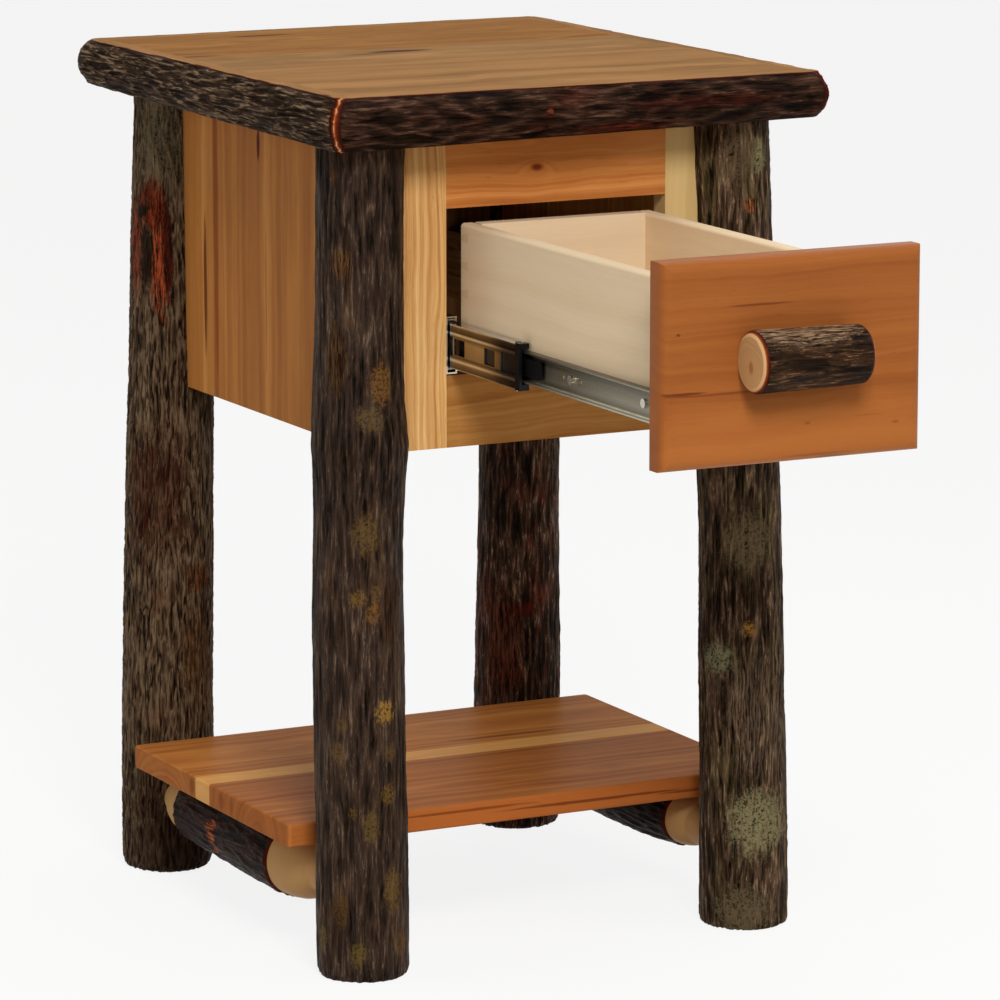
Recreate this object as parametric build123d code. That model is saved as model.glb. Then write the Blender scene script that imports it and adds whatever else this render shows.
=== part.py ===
"""Rustic hickory bedside table: four bark-on log legs, a bark-edged top, a cabinet with one
drawer on ball-bearing slides, and a low shelf on two log stretchers.

Millimetres, +Z up. The origin is on the floor, midway between the legs. The front looks
along -Y, and the drawer stands open by its whole travel, so it closes along +Y.
"""
import os
from math import acos, cos, sin

from build123d import *

os.makedirs("parts", exist_ok=True)

# --- tabletop -------------------------------------------------------------------------------
TABLE_HEIGHT = 707.0        # floor to the top face
TOP_WIDTH = 424.0           # flat face of the top, left to right
TOP_OVERHANG = 47.0         # flat face of the top, in front of the face frame and behind the back
TOP_BOARD_THICK = 19.0
TOP_SEAM_FRONT = -12.0      # glue lines between the three boards
TOP_SEAM_BACK = 65.0
TRIM_FLAT = 14.0            # sawn flat of the bark edging, level with the boards
FRONT_LEFT_EDGE_HEIGHT = 42.0    # the edging is half logs, so each corner has its own
FRONT_LEFT_EDGE_BULGE = 10.0     # height and its own reach past the sawn flat
FRONT_RIGHT_EDGE_HEIGHT = 36.5
FRONT_RIGHT_EDGE_BULGE = 7.0
BACK_LEFT_EDGE_HEIGHT = 38.0
BACK_LEFT_EDGE_BULGE = 8.0
BACK_RIGHT_EDGE_HEIGHT = 38.0
BACK_RIGHT_EDGE_BULGE = 8.0

# --- legs: each leans and tapers in two stretches ---------------------------------------------
LEG_INSET = 6.5             # leg axes, behind the face frame's front
LEG_MIDDLE_Z = 350.0        # where the two stretches meet
LEG_FOOT_ROUND = 5.0
FRONT_LEFT_FOOT_X = -169.5
FRONT_LEFT_FOOT_R = 37.0
FRONT_LEFT_MIDDLE_X = -172.0
FRONT_LEFT_MIDDLE_R = 35.8
FRONT_LEFT_TOP_X = -168.5
FRONT_LEFT_TOP_R = 34.5
FRONT_RIGHT_FOOT_X = 178.5
FRONT_RIGHT_FOOT_R = 36.0
FRONT_RIGHT_MIDDLE_X = 171.5
FRONT_RIGHT_MIDDLE_R = 33.7
FRONT_RIGHT_TOP_X = 155.5
FRONT_RIGHT_TOP_R = 34.0
BACK_LEFT_FOOT_X = -169.5
BACK_LEFT_FOOT_R = 39.0
BACK_LEFT_MIDDLE_X = -163.0
BACK_LEFT_MIDDLE_R = 37.0
BACK_LEFT_TOP_X = -155.0
BACK_LEFT_TOP_R = 33.0
BACK_RIGHT_FOOT_X = 166.5
BACK_RIGHT_FOOT_R = 38.5
BACK_RIGHT_MIDDLE_X = 170.0
BACK_RIGHT_MIDDLE_R = 35.0
BACK_RIGHT_TOP_X = 172.5
BACK_RIGHT_TOP_R = 31.5

# --- cabinet --------------------------------------------------------------------------------
RAIL_TOP_HEIGHT = 78.0
OPENING_HEIGHT = 132.5
RAIL_BOTTOM_HEIGHT = 57.5
PANEL_X = 162.0             # outer face of each side panel
PANEL_THICK = 19.0
PANEL_END_SHORT = 20.0      # the side panels' ends, in grooves in the legs, short of the leg axes
FACE_THICK = 19.0
FACE_END_X = 147.0          # the frame's and back panel's ends, housed in the legs
BACK_THICK = 12.0
OPENING_HALF_WIDTH = 97.6
TENON_LENGTH = 12.0         # rail tenons in the stiles
TENON_THICK = 6.5
TENON_SHOULDER = 8.0
BLOCK_THICK = 19.0          # rails that carry the slides
BLOCK_BELOW = 4.0           # how far a block reaches below and above its slide
BLOCK_ABOVE = 8.0
CLEAT_HEIGHT = 22.0         # battens inside the cabinet that hold the top down
CLEAT_THICK = 30.0
CLEAT_HALF_LENGTH = 116.0

# --- shelf and stretchers -------------------------------------------------------------------
SHELF_OVERHANG = 46.5       # the shelf's ends, past the stretchers' axes
SHELF_SHORT = 39.0          # the shelf's front and back edges, short of the leg axes
SHELF_TOP = 117.0
SHELF_THICK = 19.0
SHELF_STRIP_FRONT = -1.0    # the narrow strip glued between the two wide boards
SHELF_STRIP_BACK = 27.0
SHELF_CORNER_ROUND = 4.0
SHELF_EDGE_ROUND = 2.0
STRETCHER_X = 170.0
LEFT_LOG_FRONT_R = 32.5     # each stretcher's radius at its front ring, middle and back ring
LEFT_LOG_MIDDLE_R = 31.3
LEFT_LOG_BACK_R = 29.5
RIGHT_LOG_FRONT_R = 24.5
RIGHT_LOG_MIDDLE_R = 28.5
RIGHT_LOG_BACK_R = 26.0
PEELED_LEFT_FRONT = 116.5   # length peeled of bark, from a leg's axis
PEELED_RIGHT_FRONT = 79.5
PEELED_BACK = 78.5
STRETCHER_SEAT = 1.0        # depth planed off the top of the log for the shelf
BARK_THICK = 2.0            # step at the ring where the bark has been cut away
SHOULDER_LEFT_FRONT = 60.0  # half-axes of the shoulders' ovals, along the log
SHOULDER_RIGHT_FRONT = 38.0
SHOULDER_BACK = 48.0
LOG_TENON_R = 17.0
LOG_TENON_SHORT = 8.0       # the tenons' ends, short of the leg axes
LOG_TENON_CLEAR = 0.1

# --- drawer ---------------------------------------------------------------------------------
CLOSED_GAP = 0.5            # between drawer front and face frame when shut
DRAWER_LAP_SIDE = 12.4      # how far the drawer front laps over the frame at each side
DRAWER_LAP_BELOW = 16.0
DRAWER_LAP_ABOVE = 6.0
DRAWER_FRONT_THICK = 19.0
DRAWER_FRONT_ROUND = 8.0
BOX_BOARD = 12.0
BOX_GAP_BELOW = 10.0        # between the box and the frame's opening
BOX_GAP_ABOVE = 12.0
BOX_EDGE_ROUND = 3.0
DOVETAIL_WIDE = 8.0
DOVETAIL_NARROW = 4.0
DOVETAIL_COUNT = 5
PLY_THICK = 6.0
PLY_RAISE = 4.0             # from the box's lower edge to the plywood
PLY_GROOVE = 6.0
HANDLE_LENGTH = 95.0
HANDLE_LEFT_R = 23.5
HANDLE_RIGHT_R = 22.0
HANDLE_RISE = 3.25          # handle axis, above the middle of the drawer front
HANDLE_AXIS_OUT = 19.0      # handle axis, in front of the drawer front's face
HANDLE_CHAMFER = 3.5

# --- ball-bearing slides, depths measured from the cabinet's mounting face ---------------------
SLIDE_LENGTH = 356.0        # the box is as long, and the drawer travels as far
SLIDE_BACK_GAP = 33.5       # behind the cabinet member, in front of the back panel
SLIDE_THICK = 12.7
SLIDE_HEIGHT = 45.7
SLIDE_ABOVE_RAIL = 1.2      # slide's lower edge, above the bottom rail
SLIDE_SETBACK = 0.5         # slide's front end, behind the frame's face
STEEL = 1.2
BALL_DIA = 3.5
BALL_CLEAR = 0.3
MIDDLE_OUT = 114.0          # middle member's front end, in front of the cabinet member's
MIDDLE_SETBACK = 8.0        # and behind it when the drawer is shut
OUTER_LIP = 3.0             # rolled lips that keep the balls in
MIDDLE_LIP = 3.0
OUTER_DEPTH = 9.4           # how deep the flanges reach
MIDDLE_FACE = 2.4
MIDDLE_DEPTH = 11.0
INNER_EDGE = 6.3
BAND_EDGE = 9.0             # half height of the recess in the middle member's web
CAGE_PLATE = 0.5
CAGE_STRIP = 1.0
CAGE_CLEAR = 0.35
BALL_PITCH = 14.0
BALLS_IN_ROW = 6
CAGE_END = 8.0              # cage length past its last ball
OUTER_CAGE_SETBACK = 4.0    # outer cage's front end, behind the cabinet member's
WINDOW_LENGTH = 18.0
WINDOW_HEIGHT = 13.0
WINDOW_PITCH = 52.0
WINDOW_FIRST = 46.0         # first window's middle, behind the member's front end
WINDOW_COUNT = 6
NOTCH_LENGTH = 27.0         # open notch in the front end of the middle member
NOTCH_HEIGHT = 15.0
STOP_LENGTH = 2.0           # turned-out stop lips at that end
STOP_RISE = 1.8
STOP_DEPTH = 4.0
BUMPER_LENGTH = 7.0         # plastic bumper on the middle member's front end
BUMPER_RISE = 0.8
BUMPER_CLEAR = 1.5          # around the drawer member
LEVER_FACE = 7.5            # release lever on the drawer member
LEVER_THICK = 3.0
LEVER_HEIGHT = 7.0
LEVER_PIVOT_BACK = 66.0     # its pivot, behind the middle member's front end
LEVER_REACH = 96.0          # its front end, in front of the pivot
LEVER_TAB_LENGTH = 28.0
LEVER_TAB_HEIGHT = 14.0
PIVOT_R = 1.5
PIVOT_CLEAR = 0.08
PIVOT_STICK_OUT = 0.6

# --- screws ---------------------------------------------------------------------------------
SCREW_R = 2.0
SCREW_HEAD_R = 3.6
SCREW_HEAD = 2.0
SCREW_FIT = 0.1             # radial clearance of every screw in its hole
SLIDE_SCREW_GRIP = 9.0      # how far the slides' screws reach into the wood
SLIDE_SCREW_FRONT = 50.0    # slide screws, from the member's front end
SLIDE_SCREW_MID = 166.0
SLIDE_SCREW_BACK = 20.0     # and from its back end
SLIDE_HOLE_SPACING = 14.0   # spare holes either side of the middle screw
LEG_SCREW_END = 6.0         # leg screws, from the side panels' ends
LEG_SCREW_BITE = 10.0       # and into the log past the panel
LEG_SCREW_MARGIN = 40.0     # and from the cabinet's bottom and top
TOP_SCREW_SPACING = 95.0
TOP_SCREW_GRIP = 13.0
SHELF_SCREW_FRONT = 18.0    # shelf screws, behind the left stretcher's front bark ring
SHELF_SCREW_BACK = 21.0     # and in front of the back bark rings
SHELF_SCREW_GRIP = 12.0
SHELF_SCREW_SINK = 12.0     # counterbore depth up into the log
FRONT_SCREW_IN = 10.9       # front screws, from the insides of the box's sides
FRONT_SCREW_RISE = 34.0     # front screws, above and below the middle of the box
FRONT_SCREW_GRIP = 12.0
HANDLE_SCREW_X = 24.0
HANDLE_SCREW_GRIP = 14.0
BLOCK_SCREW_RISE = 15.0
BLOCK_SCREW_GRIP = 30.0

# --- places worked out from the sizes above --------------------------------------------------
CABINET_TOP = TABLE_HEIGHT - TOP_BOARD_THICK
OPENING_TOP = CABINET_TOP - RAIL_TOP_HEIGHT
OPENING_BOTTOM = OPENING_TOP - OPENING_HEIGHT
CABINET_BOTTOM = OPENING_BOTTOM - RAIL_BOTTOM_HEIGHT
FACE_Y = (SLIDE_SETBACK + SLIDE_LENGTH + SLIDE_BACK_GAP + BACK_THICK) / 2   # front and back of the cabinet
LEG_Y = FACE_Y - LEG_INSET
PANEL_END_Y = LEG_Y - PANEL_END_SHORT
BOARDS_X = TOP_WIDTH / 2 - TRIM_FLAT
BOARDS_Y = FACE_Y + TOP_OVERHANG - TRIM_FLAT
EDGE_SPAN = TRIM_FLAT + max(FRONT_LEFT_EDGE_BULGE, FRONT_RIGHT_EDGE_BULGE,
                            BACK_LEFT_EDGE_BULGE, BACK_RIGHT_EDGE_BULGE)
PANEL_INNER_X = PANEL_X - PANEL_THICK
FACE_BACK_Y = FACE_Y - FACE_THICK
BACK_PANEL_Y = FACE_Y - BACK_THICK
SHELF_BOTTOM = SHELF_TOP - SHELF_THICK
SHELF_X = STRETCHER_X + SHELF_OVERHANG
SHELF_Y = LEG_Y - SHELF_SHORT
LOG_TENON_Y = LEG_Y - LOG_TENON_SHORT
DRAWER_FRONT_X = OPENING_HALF_WIDTH + DRAWER_LAP_SIDE
DRAWER_FRONT_BOTTOM = OPENING_BOTTOM - DRAWER_LAP_BELOW
DRAWER_FRONT_TOP = OPENING_TOP + DRAWER_LAP_ABOVE
HANDLE_Z = (DRAWER_FRONT_BOTTOM + DRAWER_FRONT_TOP) / 2 + HANDLE_RISE
BOX_HALF_WIDTH = OPENING_HALF_WIDTH - SLIDE_THICK
BOX_INNER_X = BOX_HALF_WIDTH - BOX_BOARD
BOX_BOTTOM = OPENING_BOTTOM + BOX_GAP_BELOW
BOX_TOP = OPENING_TOP - BOX_GAP_ABOVE
DOVETAIL_PITCH = (BOX_TOP - BOX_BOTTOM) / DOVETAIL_COUNT
DRAWER_REAR_Y = -(FACE_Y + CLOSED_GAP + SLIDE_LENGTH)    # back of the open drawer's front
DRAWER_FACE_Y = DRAWER_REAR_Y - DRAWER_FRONT_THICK
BOX_INSIDE_FRONT_Y = DRAWER_REAR_Y + BOX_BOARD
BOX_BACK_Y = DRAWER_REAR_Y + SLIDE_LENGTH
BOX_INSIDE_BACK_Y = BOX_BACK_Y - BOX_BOARD
PLY_BOTTOM = BOX_BOTTOM + PLY_RAISE
SLIDE_Z = OPENING_BOTTOM + SLIDE_ABOVE_RAIL + SLIDE_HEIGHT / 2
OUTER_FRONT_Y = -(FACE_Y - SLIDE_SETBACK)
MIDDLE_FRONT_Y = OUTER_FRONT_Y - MIDDLE_OUT
MIDDLE_LENGTH = SLIDE_LENGTH - MIDDLE_SETBACK
INNER_FRONT_Y = OUTER_FRONT_Y - SLIDE_LENGTH
RACE_STEP = STEEL + BALL_DIA + 2 * BALL_CLEAR            # one member's half height to the next
OUTER_HALF = SLIDE_HEIGHT / 2
MIDDLE_HALF = OUTER_HALF - RACE_STEP
INNER_HALF = MIDDLE_HALF - RACE_STEP
RECESS_FACE = MIDDLE_FACE + STEEL                        # the middle member's sunk web
RECESS_BACK = RECESS_FACE + STEEL
CAGE_LENGTH = (BALLS_IN_ROW - 1) * BALL_PITCH + 2 * CAGE_END
OUTER_CAGE_FACE = STEEL + CAGE_CLEAR
INNER_CAGE_FACE = RECESS_BACK + CAGE_CLEAR
OUTER_CAGE_FRONT_Y = OUTER_FRONT_Y + OUTER_CAGE_SETBACK
LEVER_PIVOT_Y = MIDDLE_FRONT_Y + LEVER_PIVOT_BACK


# --- small helpers ---------------------------------------------------------------------------
def block(x, y, z):
    """A box from its two limits along X, Y and Z."""
    size = [abs(pair[1] - pair[0]) for pair in (x, y, z)]
    middle = [(pair[0] + pair[1]) / 2 for pair in (x, y, z)]
    return Pos(*middle) * Box(*size)


def rod(start, end, radius):
    """A round bar between two points."""
    start, end = Vector(*start), Vector(*end)
    return Solid.make_cylinder(radius, (end - start).length, Plane(start, z_dir=end - start))


def screw(head_top, tip, extra=0.0):
    """A screw from the top of its head to its tip; extra makes its clearance hole."""
    head_top, tip = Vector(*head_top), Vector(*tip)
    under_head = head_top + (tip - head_top).normalized() * SCREW_HEAD
    return rod(head_top, under_head, SCREW_HEAD_R + extra) + rod(under_head, tip, SCREW_R + extra)


def flipped(shape):
    """The same piece on the right-hand side."""
    return mirror(shape, about=Plane.YZ)


def both_sides(shapes):
    """Pieces for the left, and the same pieces for the right."""
    return list(shapes) + [flipped(shape) for shape in shapes]


def drilled(shape, holes):
    """A piece with every hole or housing cut out of it."""
    for hole in holes:
        shape -= hole
    return shape


def save(name, shape):
    """Write one node: a piece, or a group of separate ones."""
    if isinstance(shape, list):
        shape = Compound(children=[Solid(piece.solid().wrapped) for piece in shape])
    export_step(shape, os.path.join("parts", name + ".step"))


# --- screws, which other pieces take their holes from -----------------------------------------
def leg_screws(extra=0.0):
    """Two screws a corner, from inside the cabinet through the side panel into the leg."""
    screws = []
    for side in (-1, 1):
        for y in (LEG_SCREW_END - PANEL_END_Y, PANEL_END_Y - LEG_SCREW_END):
            for z in (CABINET_BOTTOM + LEG_SCREW_MARGIN, CABINET_TOP - LEG_SCREW_MARGIN):
                head = (side * (PANEL_INNER_X - SCREW_HEAD), y, z)
                screws.append(screw(head, (side * (PANEL_X + LEG_SCREW_BITE), y, z), extra))
    return screws


def top_screws(extra=0.0):
    """Screws up through both cleats into the boards."""
    screws = []
    for x in (-TOP_SCREW_SPACING, 0, TOP_SCREW_SPACING):
        for y in (CLEAT_THICK / 2 - FACE_BACK_Y, BACK_PANEL_Y - CLEAT_THICK / 2):
            head = (x, y, CABINET_TOP - CLEAT_HEIGHT)
            screws.append(screw(head, (x, y, CABINET_TOP + TOP_SCREW_GRIP), extra))
    return screws


def shelf_screws(extra=0.0):
    """Screws up through both stretchers into the wide shelf boards."""
    screws = []
    front_y = PEELED_LEFT_FRONT - LEG_Y + SHELF_SCREW_FRONT
    back_y = LEG_Y - PEELED_BACK - SHELF_SCREW_BACK
    for side in (-1, 1):
        head_z = 2 * stretcher_z(side) - SHELF_BOTTOM + SHELF_SCREW_SINK
        for y in (front_y, back_y):
            x = side * STRETCHER_X
            screws.append(screw((x, y, head_z), (x, y, SHELF_BOTTOM + SHELF_SCREW_GRIP), extra))
    return screws


def block_screws(extra=0.0):
    """Screws through the back panel into the back ends of the slide blocks."""
    screws = []
    for x in (-OPENING_HALF_WIDTH - BLOCK_THICK / 2, OPENING_HALF_WIDTH + BLOCK_THICK / 2):
        for z in (SLIDE_Z - BLOCK_SCREW_RISE, SLIDE_Z + BLOCK_SCREW_RISE):
            screws.append(screw((x, FACE_Y, z), (x, BACK_PANEL_Y - BLOCK_SCREW_GRIP, z), extra))
    return screws


def front_screws(extra=0.0):
    """Four screws from inside the drawer box into the drawer front."""
    middle = (BOX_BOTTOM + BOX_TOP) / 2
    side_x = BOX_INNER_X - FRONT_SCREW_IN
    screws = []
    for x in (-side_x, side_x):
        for z in (middle - FRONT_SCREW_RISE, middle + FRONT_SCREW_RISE):
            head = (x, BOX_INSIDE_FRONT_Y + SCREW_HEAD, z)
            screws.append(screw(head, (x, DRAWER_REAR_Y - FRONT_SCREW_GRIP, z), extra))
    return screws


def handle_screws(extra=0.0):
    """Two screws from inside the drawer box, through both fronts, into the handle."""
    screws = []
    for x in (-HANDLE_SCREW_X, HANDLE_SCREW_X):
        head = (x, BOX_INSIDE_FRONT_Y + SCREW_HEAD, HANDLE_Z)
        screws.append(screw(head, (x, DRAWER_FACE_Y - HANDLE_SCREW_GRIP, HANDLE_Z), extra))
    return screws


def slide_screw_places():
    """Screw places along a slide member, back from its front end."""
    return (SLIDE_SCREW_FRONT, SLIDE_SCREW_MID, SLIDE_LENGTH - SLIDE_SCREW_BACK)


def cabinet_slide_screws(extra=0.0):
    """Countersunk screws, flush inside the left cabinet member, into its block."""
    wall = -OPENING_HALF_WIDTH
    screws = []
    for place in slide_screw_places():
        y = OUTER_FRONT_Y + place
        face = Plane((wall, y, SLIDE_Z), z_dir=(1, 0, 0))
        flare = Solid.make_cone(SCREW_R + extra, SCREW_HEAD_R + extra, STEEL, face)
        screws.append(flare + rod((wall, y, SLIDE_Z), (wall - SLIDE_SCREW_GRIP, y, SLIDE_Z), SCREW_R + extra))
    return screws


def drawer_slide_screws(extra=0.0):
    """Pan-head screws inside the left drawer member, into the drawer side."""
    screws = []
    for place in slide_screw_places():
        y = INNER_FRONT_Y + place
        head = (-BOX_HALF_WIDTH - STEEL - SCREW_HEAD, y, SLIDE_Z)
        screws.append(screw(head, (-BOX_HALF_WIDTH + SLIDE_SCREW_GRIP, y, SLIDE_Z), extra))
    return screws


# --- legs -----------------------------------------------------------------------------------
def leg(y, foot, middle, top, housed):
    """One log leg from its (x, radius) at foot, middle and top, cut to house its neighbours."""
    discs = []
    for (x, radius), z in zip((foot, middle, top), (0, LEG_MIDDLE_Z, CABINET_TOP)):
        discs.append(Pos(x, y, z) * Circle(radius))
    trunk = loft(discs, ruled=True)
    trunk = fillet(trunk.edges().sort_by(Axis.Z)[0], LEG_FOOT_ROUND)
    side = -1 if foot[0] < 0 else 1
    z = stretcher_z(side)
    far = LOG_TENON_Y if y > 0 else -LOG_TENON_Y
    mortise = rod((side * STRETCHER_X, 0, z), (side * STRETCHER_X, far, z), LOG_TENON_R + LOG_TENON_CLEAR)
    return drilled(trunk, housed + [mortise])


def legs():
    """The four legs by corner."""
    housed = both_sides([side_panel_blank(), stile_blank()]) + [back_panel_blank()]
    housed += edging() + leg_screws(SCREW_FIT)
    return {
        "front_left": leg(-LEG_Y, (FRONT_LEFT_FOOT_X, FRONT_LEFT_FOOT_R),
                          (FRONT_LEFT_MIDDLE_X, FRONT_LEFT_MIDDLE_R),
                          (FRONT_LEFT_TOP_X, FRONT_LEFT_TOP_R), housed),
        "front_right": leg(-LEG_Y, (FRONT_RIGHT_FOOT_X, FRONT_RIGHT_FOOT_R),
                           (FRONT_RIGHT_MIDDLE_X, FRONT_RIGHT_MIDDLE_R),
                           (FRONT_RIGHT_TOP_X, FRONT_RIGHT_TOP_R), housed),
        "back_left": leg(LEG_Y, (BACK_LEFT_FOOT_X, BACK_LEFT_FOOT_R),
                         (BACK_LEFT_MIDDLE_X, BACK_LEFT_MIDDLE_R),
                         (BACK_LEFT_TOP_X, BACK_LEFT_TOP_R), housed),
        "back_right": leg(LEG_Y, (BACK_RIGHT_FOOT_X, BACK_RIGHT_FOOT_R),
                          (BACK_RIGHT_MIDDLE_X, BACK_RIGHT_MIDDLE_R),
                          (BACK_RIGHT_TOP_X, BACK_RIGHT_TOP_R), housed),
    }


# --- tabletop -------------------------------------------------------------------------------
def top_board(front, back):
    """One of the glued boards, grain left to right."""
    board = block((-BOARDS_X, BOARDS_X), (front, back), (CABINET_TOP, TABLE_HEIGHT))
    return drilled(board, top_screws(SCREW_FIT))


def half_log(height, bulge):
    """Section of the edging: flat back, top and foot, and a round bark face."""
    out = TRIM_FLAT + bulge
    sawn = Polyline((TRIM_FLAT, -height), (0, -height), (0, 0), (TRIM_FLAT, 0))
    bark = ThreePointArc((TRIM_FLAT, 0), (out, -height / 2), (TRIM_FLAT, -height))
    return make_face(sawn + bark)


def edge_strip(turn, half_length, inner, left_end, right_end):
    """Bark edging for one side, mitred at both ends; drawn for the front, then turned."""
    sections = []
    for x, (height, bulge) in ((-half_length - EDGE_SPAN, left_end), (half_length + EDGE_SPAN, right_end)):
        plane = Plane((x, -inner, TABLE_HEIGHT), x_dir=(0, -1, 0), z_dir=(-1, 0, 0))
        sections.append(plane * half_log(height, bulge))
    strip = loft(sections, ruled=True)
    outline = Polyline((-half_length, -inner), (half_length, -inner),
                       (half_length + EDGE_SPAN, -inner - EDGE_SPAN),
                       (-half_length - EDGE_SPAN, -inner - EDGE_SPAN), close=True)
    between_mitres = extrude(make_face(outline), TABLE_HEIGHT)
    return Rot(0, 0, turn) * (strip & between_mitres)


def edging():
    """The four strips round the top: front, right, back and left."""
    front_left = (FRONT_LEFT_EDGE_HEIGHT, FRONT_LEFT_EDGE_BULGE)
    front_right = (FRONT_RIGHT_EDGE_HEIGHT, FRONT_RIGHT_EDGE_BULGE)
    back_left = (BACK_LEFT_EDGE_HEIGHT, BACK_LEFT_EDGE_BULGE)
    back_right = (BACK_RIGHT_EDGE_HEIGHT, BACK_RIGHT_EDGE_BULGE)
    return [edge_strip(0, BOARDS_X, BOARDS_Y, front_left, front_right),
            edge_strip(90, BOARDS_Y, BOARDS_X, front_right, back_right),
            edge_strip(180, BOARDS_X, BOARDS_Y, back_right, back_left),
            edge_strip(-90, BOARDS_Y, BOARDS_X, back_left, front_left)]


def top_cleat(y):
    """Batten inside the cabinet, against the frame or the back panel, in the middle of y."""
    batten = block((-CLEAT_HALF_LENGTH, CLEAT_HALF_LENGTH), y, (CABINET_TOP - CLEAT_HEIGHT, CABINET_TOP))
    return drilled(batten, top_screws(SCREW_FIT))


# --- cabinet --------------------------------------------------------------------------------
def side_panel_blank():
    """Left side panel, before any hole."""
    return block((-PANEL_X, -PANEL_INNER_X), (-PANEL_END_Y, PANEL_END_Y), (CABINET_BOTTOM, CABINET_TOP))


def stile_blank():
    """Left upright of the face frame, before its mortises."""
    return block((-FACE_END_X, -OPENING_HALF_WIDTH), (-FACE_Y, -FACE_BACK_Y), (CABINET_BOTTOM, CABINET_TOP))


def back_panel_blank():
    """Back panel, before any hole."""
    return block((-FACE_END_X, FACE_END_X), (BACK_PANEL_Y, FACE_Y), (CABINET_BOTTOM, CABINET_TOP))


def rail(bottom, top):
    """A face-frame rail with a tenon at each end."""
    middle = -(FACE_Y + FACE_BACK_Y) / 2
    body = block((-OPENING_HALF_WIDTH, OPENING_HALF_WIDTH), (-FACE_Y, -FACE_BACK_Y), (bottom, top))
    reach = OPENING_HALF_WIDTH + TENON_LENGTH
    tenons = block((-reach, reach), (middle - TENON_THICK / 2, middle + TENON_THICK / 2),
                   (bottom + TENON_SHOULDER, top - TENON_SHOULDER))
    return body + tenons


def rail_top():
    """Rail above the drawer."""
    return rail(OPENING_TOP, CABINET_TOP)


def rail_bottom():
    """Rail below the drawer."""
    return rail(CABINET_BOTTOM, OPENING_BOTTOM)


def stile():
    """Left upright, mortised for both rails."""
    return drilled(stile_blank(), [rail_top(), rail_bottom()])


def side_panel():
    """Left side panel, drilled for the leg screws."""
    return drilled(side_panel_blank(), leg_screws(SCREW_FIT))


def back_panel():
    """Back panel, drilled for the block screws."""
    return drilled(back_panel_blank(), block_screws(SCREW_FIT))


def slide_block():
    """Left rail from face frame to back panel, which carries the cabinet member."""
    outer = OPENING_HALF_WIDTH + BLOCK_THICK
    carrier = block((-outer, -OPENING_HALF_WIDTH), (-FACE_BACK_Y, BACK_PANEL_Y),
                    (SLIDE_Z - OUTER_HALF - BLOCK_BELOW, SLIDE_Z + OUTER_HALF + BLOCK_ABOVE))
    return drilled(carrier, cabinet_slide_screws(SCREW_FIT) + block_screws(SCREW_FIT))


# --- shelf ----------------------------------------------------------------------------------
def shelf_board(front, back):
    """The part of the softened shelf between two glue lines."""
    slab = block((-SHELF_X, SHELF_X), (-SHELF_Y, SHELF_Y), (SHELF_BOTTOM, SHELF_TOP))
    slab = fillet(slab.edges().filter_by(Axis.Z), SHELF_CORNER_ROUND)
    rims = slab.faces().sort_by(Axis.Z)[-1].edges() + slab.faces().sort_by(Axis.Z)[0].edges()
    slab = fillet(rims, SHELF_EDGE_ROUND)
    board = slab & block((-SHELF_X, SHELF_X), (front, back), (0, TABLE_HEIGHT))
    return drilled(board, shelf_screws(SCREW_FIT))


def log_radii(side):
    """A stretcher's radius at its front ring, middle and back ring."""
    if side < 0:
        return LEFT_LOG_FRONT_R, LEFT_LOG_MIDDLE_R, LEFT_LOG_BACK_R
    return RIGHT_LOG_FRONT_R, RIGHT_LOG_MIDDLE_R, RIGHT_LOG_BACK_R


def stretcher_z(side):
    """Height of a stretcher's axis, so that the shelf beds on its planed top."""
    return SHELF_BOTTOM - max(log_radii(side)) + STRETCHER_SEAT


def shoulder(ring_y, radius, half_axis):
    """Rounded line from the peeled wood at the ring down to the tenon."""
    away = -1 if ring_y < 0 else 1
    turn = acos(LOG_TENON_R / radius)
    points = [(radius * cos(t), ring_y + away * half_axis * sin(t)) for t in (0, turn / 2, turn)]
    return ThreePointArc(*points)


def stretcher(side, peeled_front, front_axis):
    """Log stretcher: bark between two peeled, rounded shoulders that run down to tenons."""
    front_ring = peeled_front - LEG_Y
    back_ring = LEG_Y - PEELED_BACK
    front_r, middle_r, back_r = log_radii(side)
    front = shoulder(front_ring, front_r - BARK_THICK, front_axis)
    back = shoulder(back_ring, back_r - BARK_THICK, SHOULDER_BACK)
    bark = ThreePointArc((front_r, front_ring), (middle_r, (front_ring + back_ring) / 2), (back_r, back_ring))
    steps = Line(front @ 0, bark @ 0) + Line(bark @ 1, back @ 0)
    tenons = Polyline(back @ 1, (LOG_TENON_R, LOG_TENON_Y), (0, LOG_TENON_Y),
                      (0, -LOG_TENON_Y), (LOG_TENON_R, -LOG_TENON_Y), front @ 1)
    log = revolve(make_face(front + bark + steps + back + tenons), Axis.Y)
    log = Pos(side * STRETCHER_X, 0, stretcher_z(side)) * log
    log -= block((-SHELF_X, SHELF_X), (-LEG_Y, LEG_Y), (SHELF_BOTTOM, TABLE_HEIGHT))
    holes = shelf_screws(SCREW_FIT)
    for hole in shelf_screws(SCREW_FIT):
        head = hole.faces().sort_by(Axis.Z)[0].center()
        holes.append(rod((head.X, head.Y, 0), (head.X, head.Y, head.Z), SCREW_HEAD_R + SCREW_FIT))
    return drilled(log, holes)


# --- drawer ---------------------------------------------------------------------------------
def pins(inner_y, outer_y):
    """Dovetail pins at the left end of a box board that lies between two Y planes."""
    solids = []
    plane = Plane((-BOX_HALF_WIDTH, 0, 0), x_dir=(0, 1, 0), z_dir=(1, 0, 0))
    for number in range(DOVETAIL_COUNT):
        z = BOX_TOP - (number + 0.5) * DOVETAIL_PITCH
        tail = Polyline((inner_y, z - DOVETAIL_WIDE / 2), (outer_y, z - DOVETAIL_NARROW / 2),
                        (outer_y, z + DOVETAIL_NARROW / 2), (inner_y, z + DOVETAIL_WIDE / 2), close=True)
        solids.append(extrude(plane * make_face(tail), BOX_BOARD))
    return solids


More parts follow.
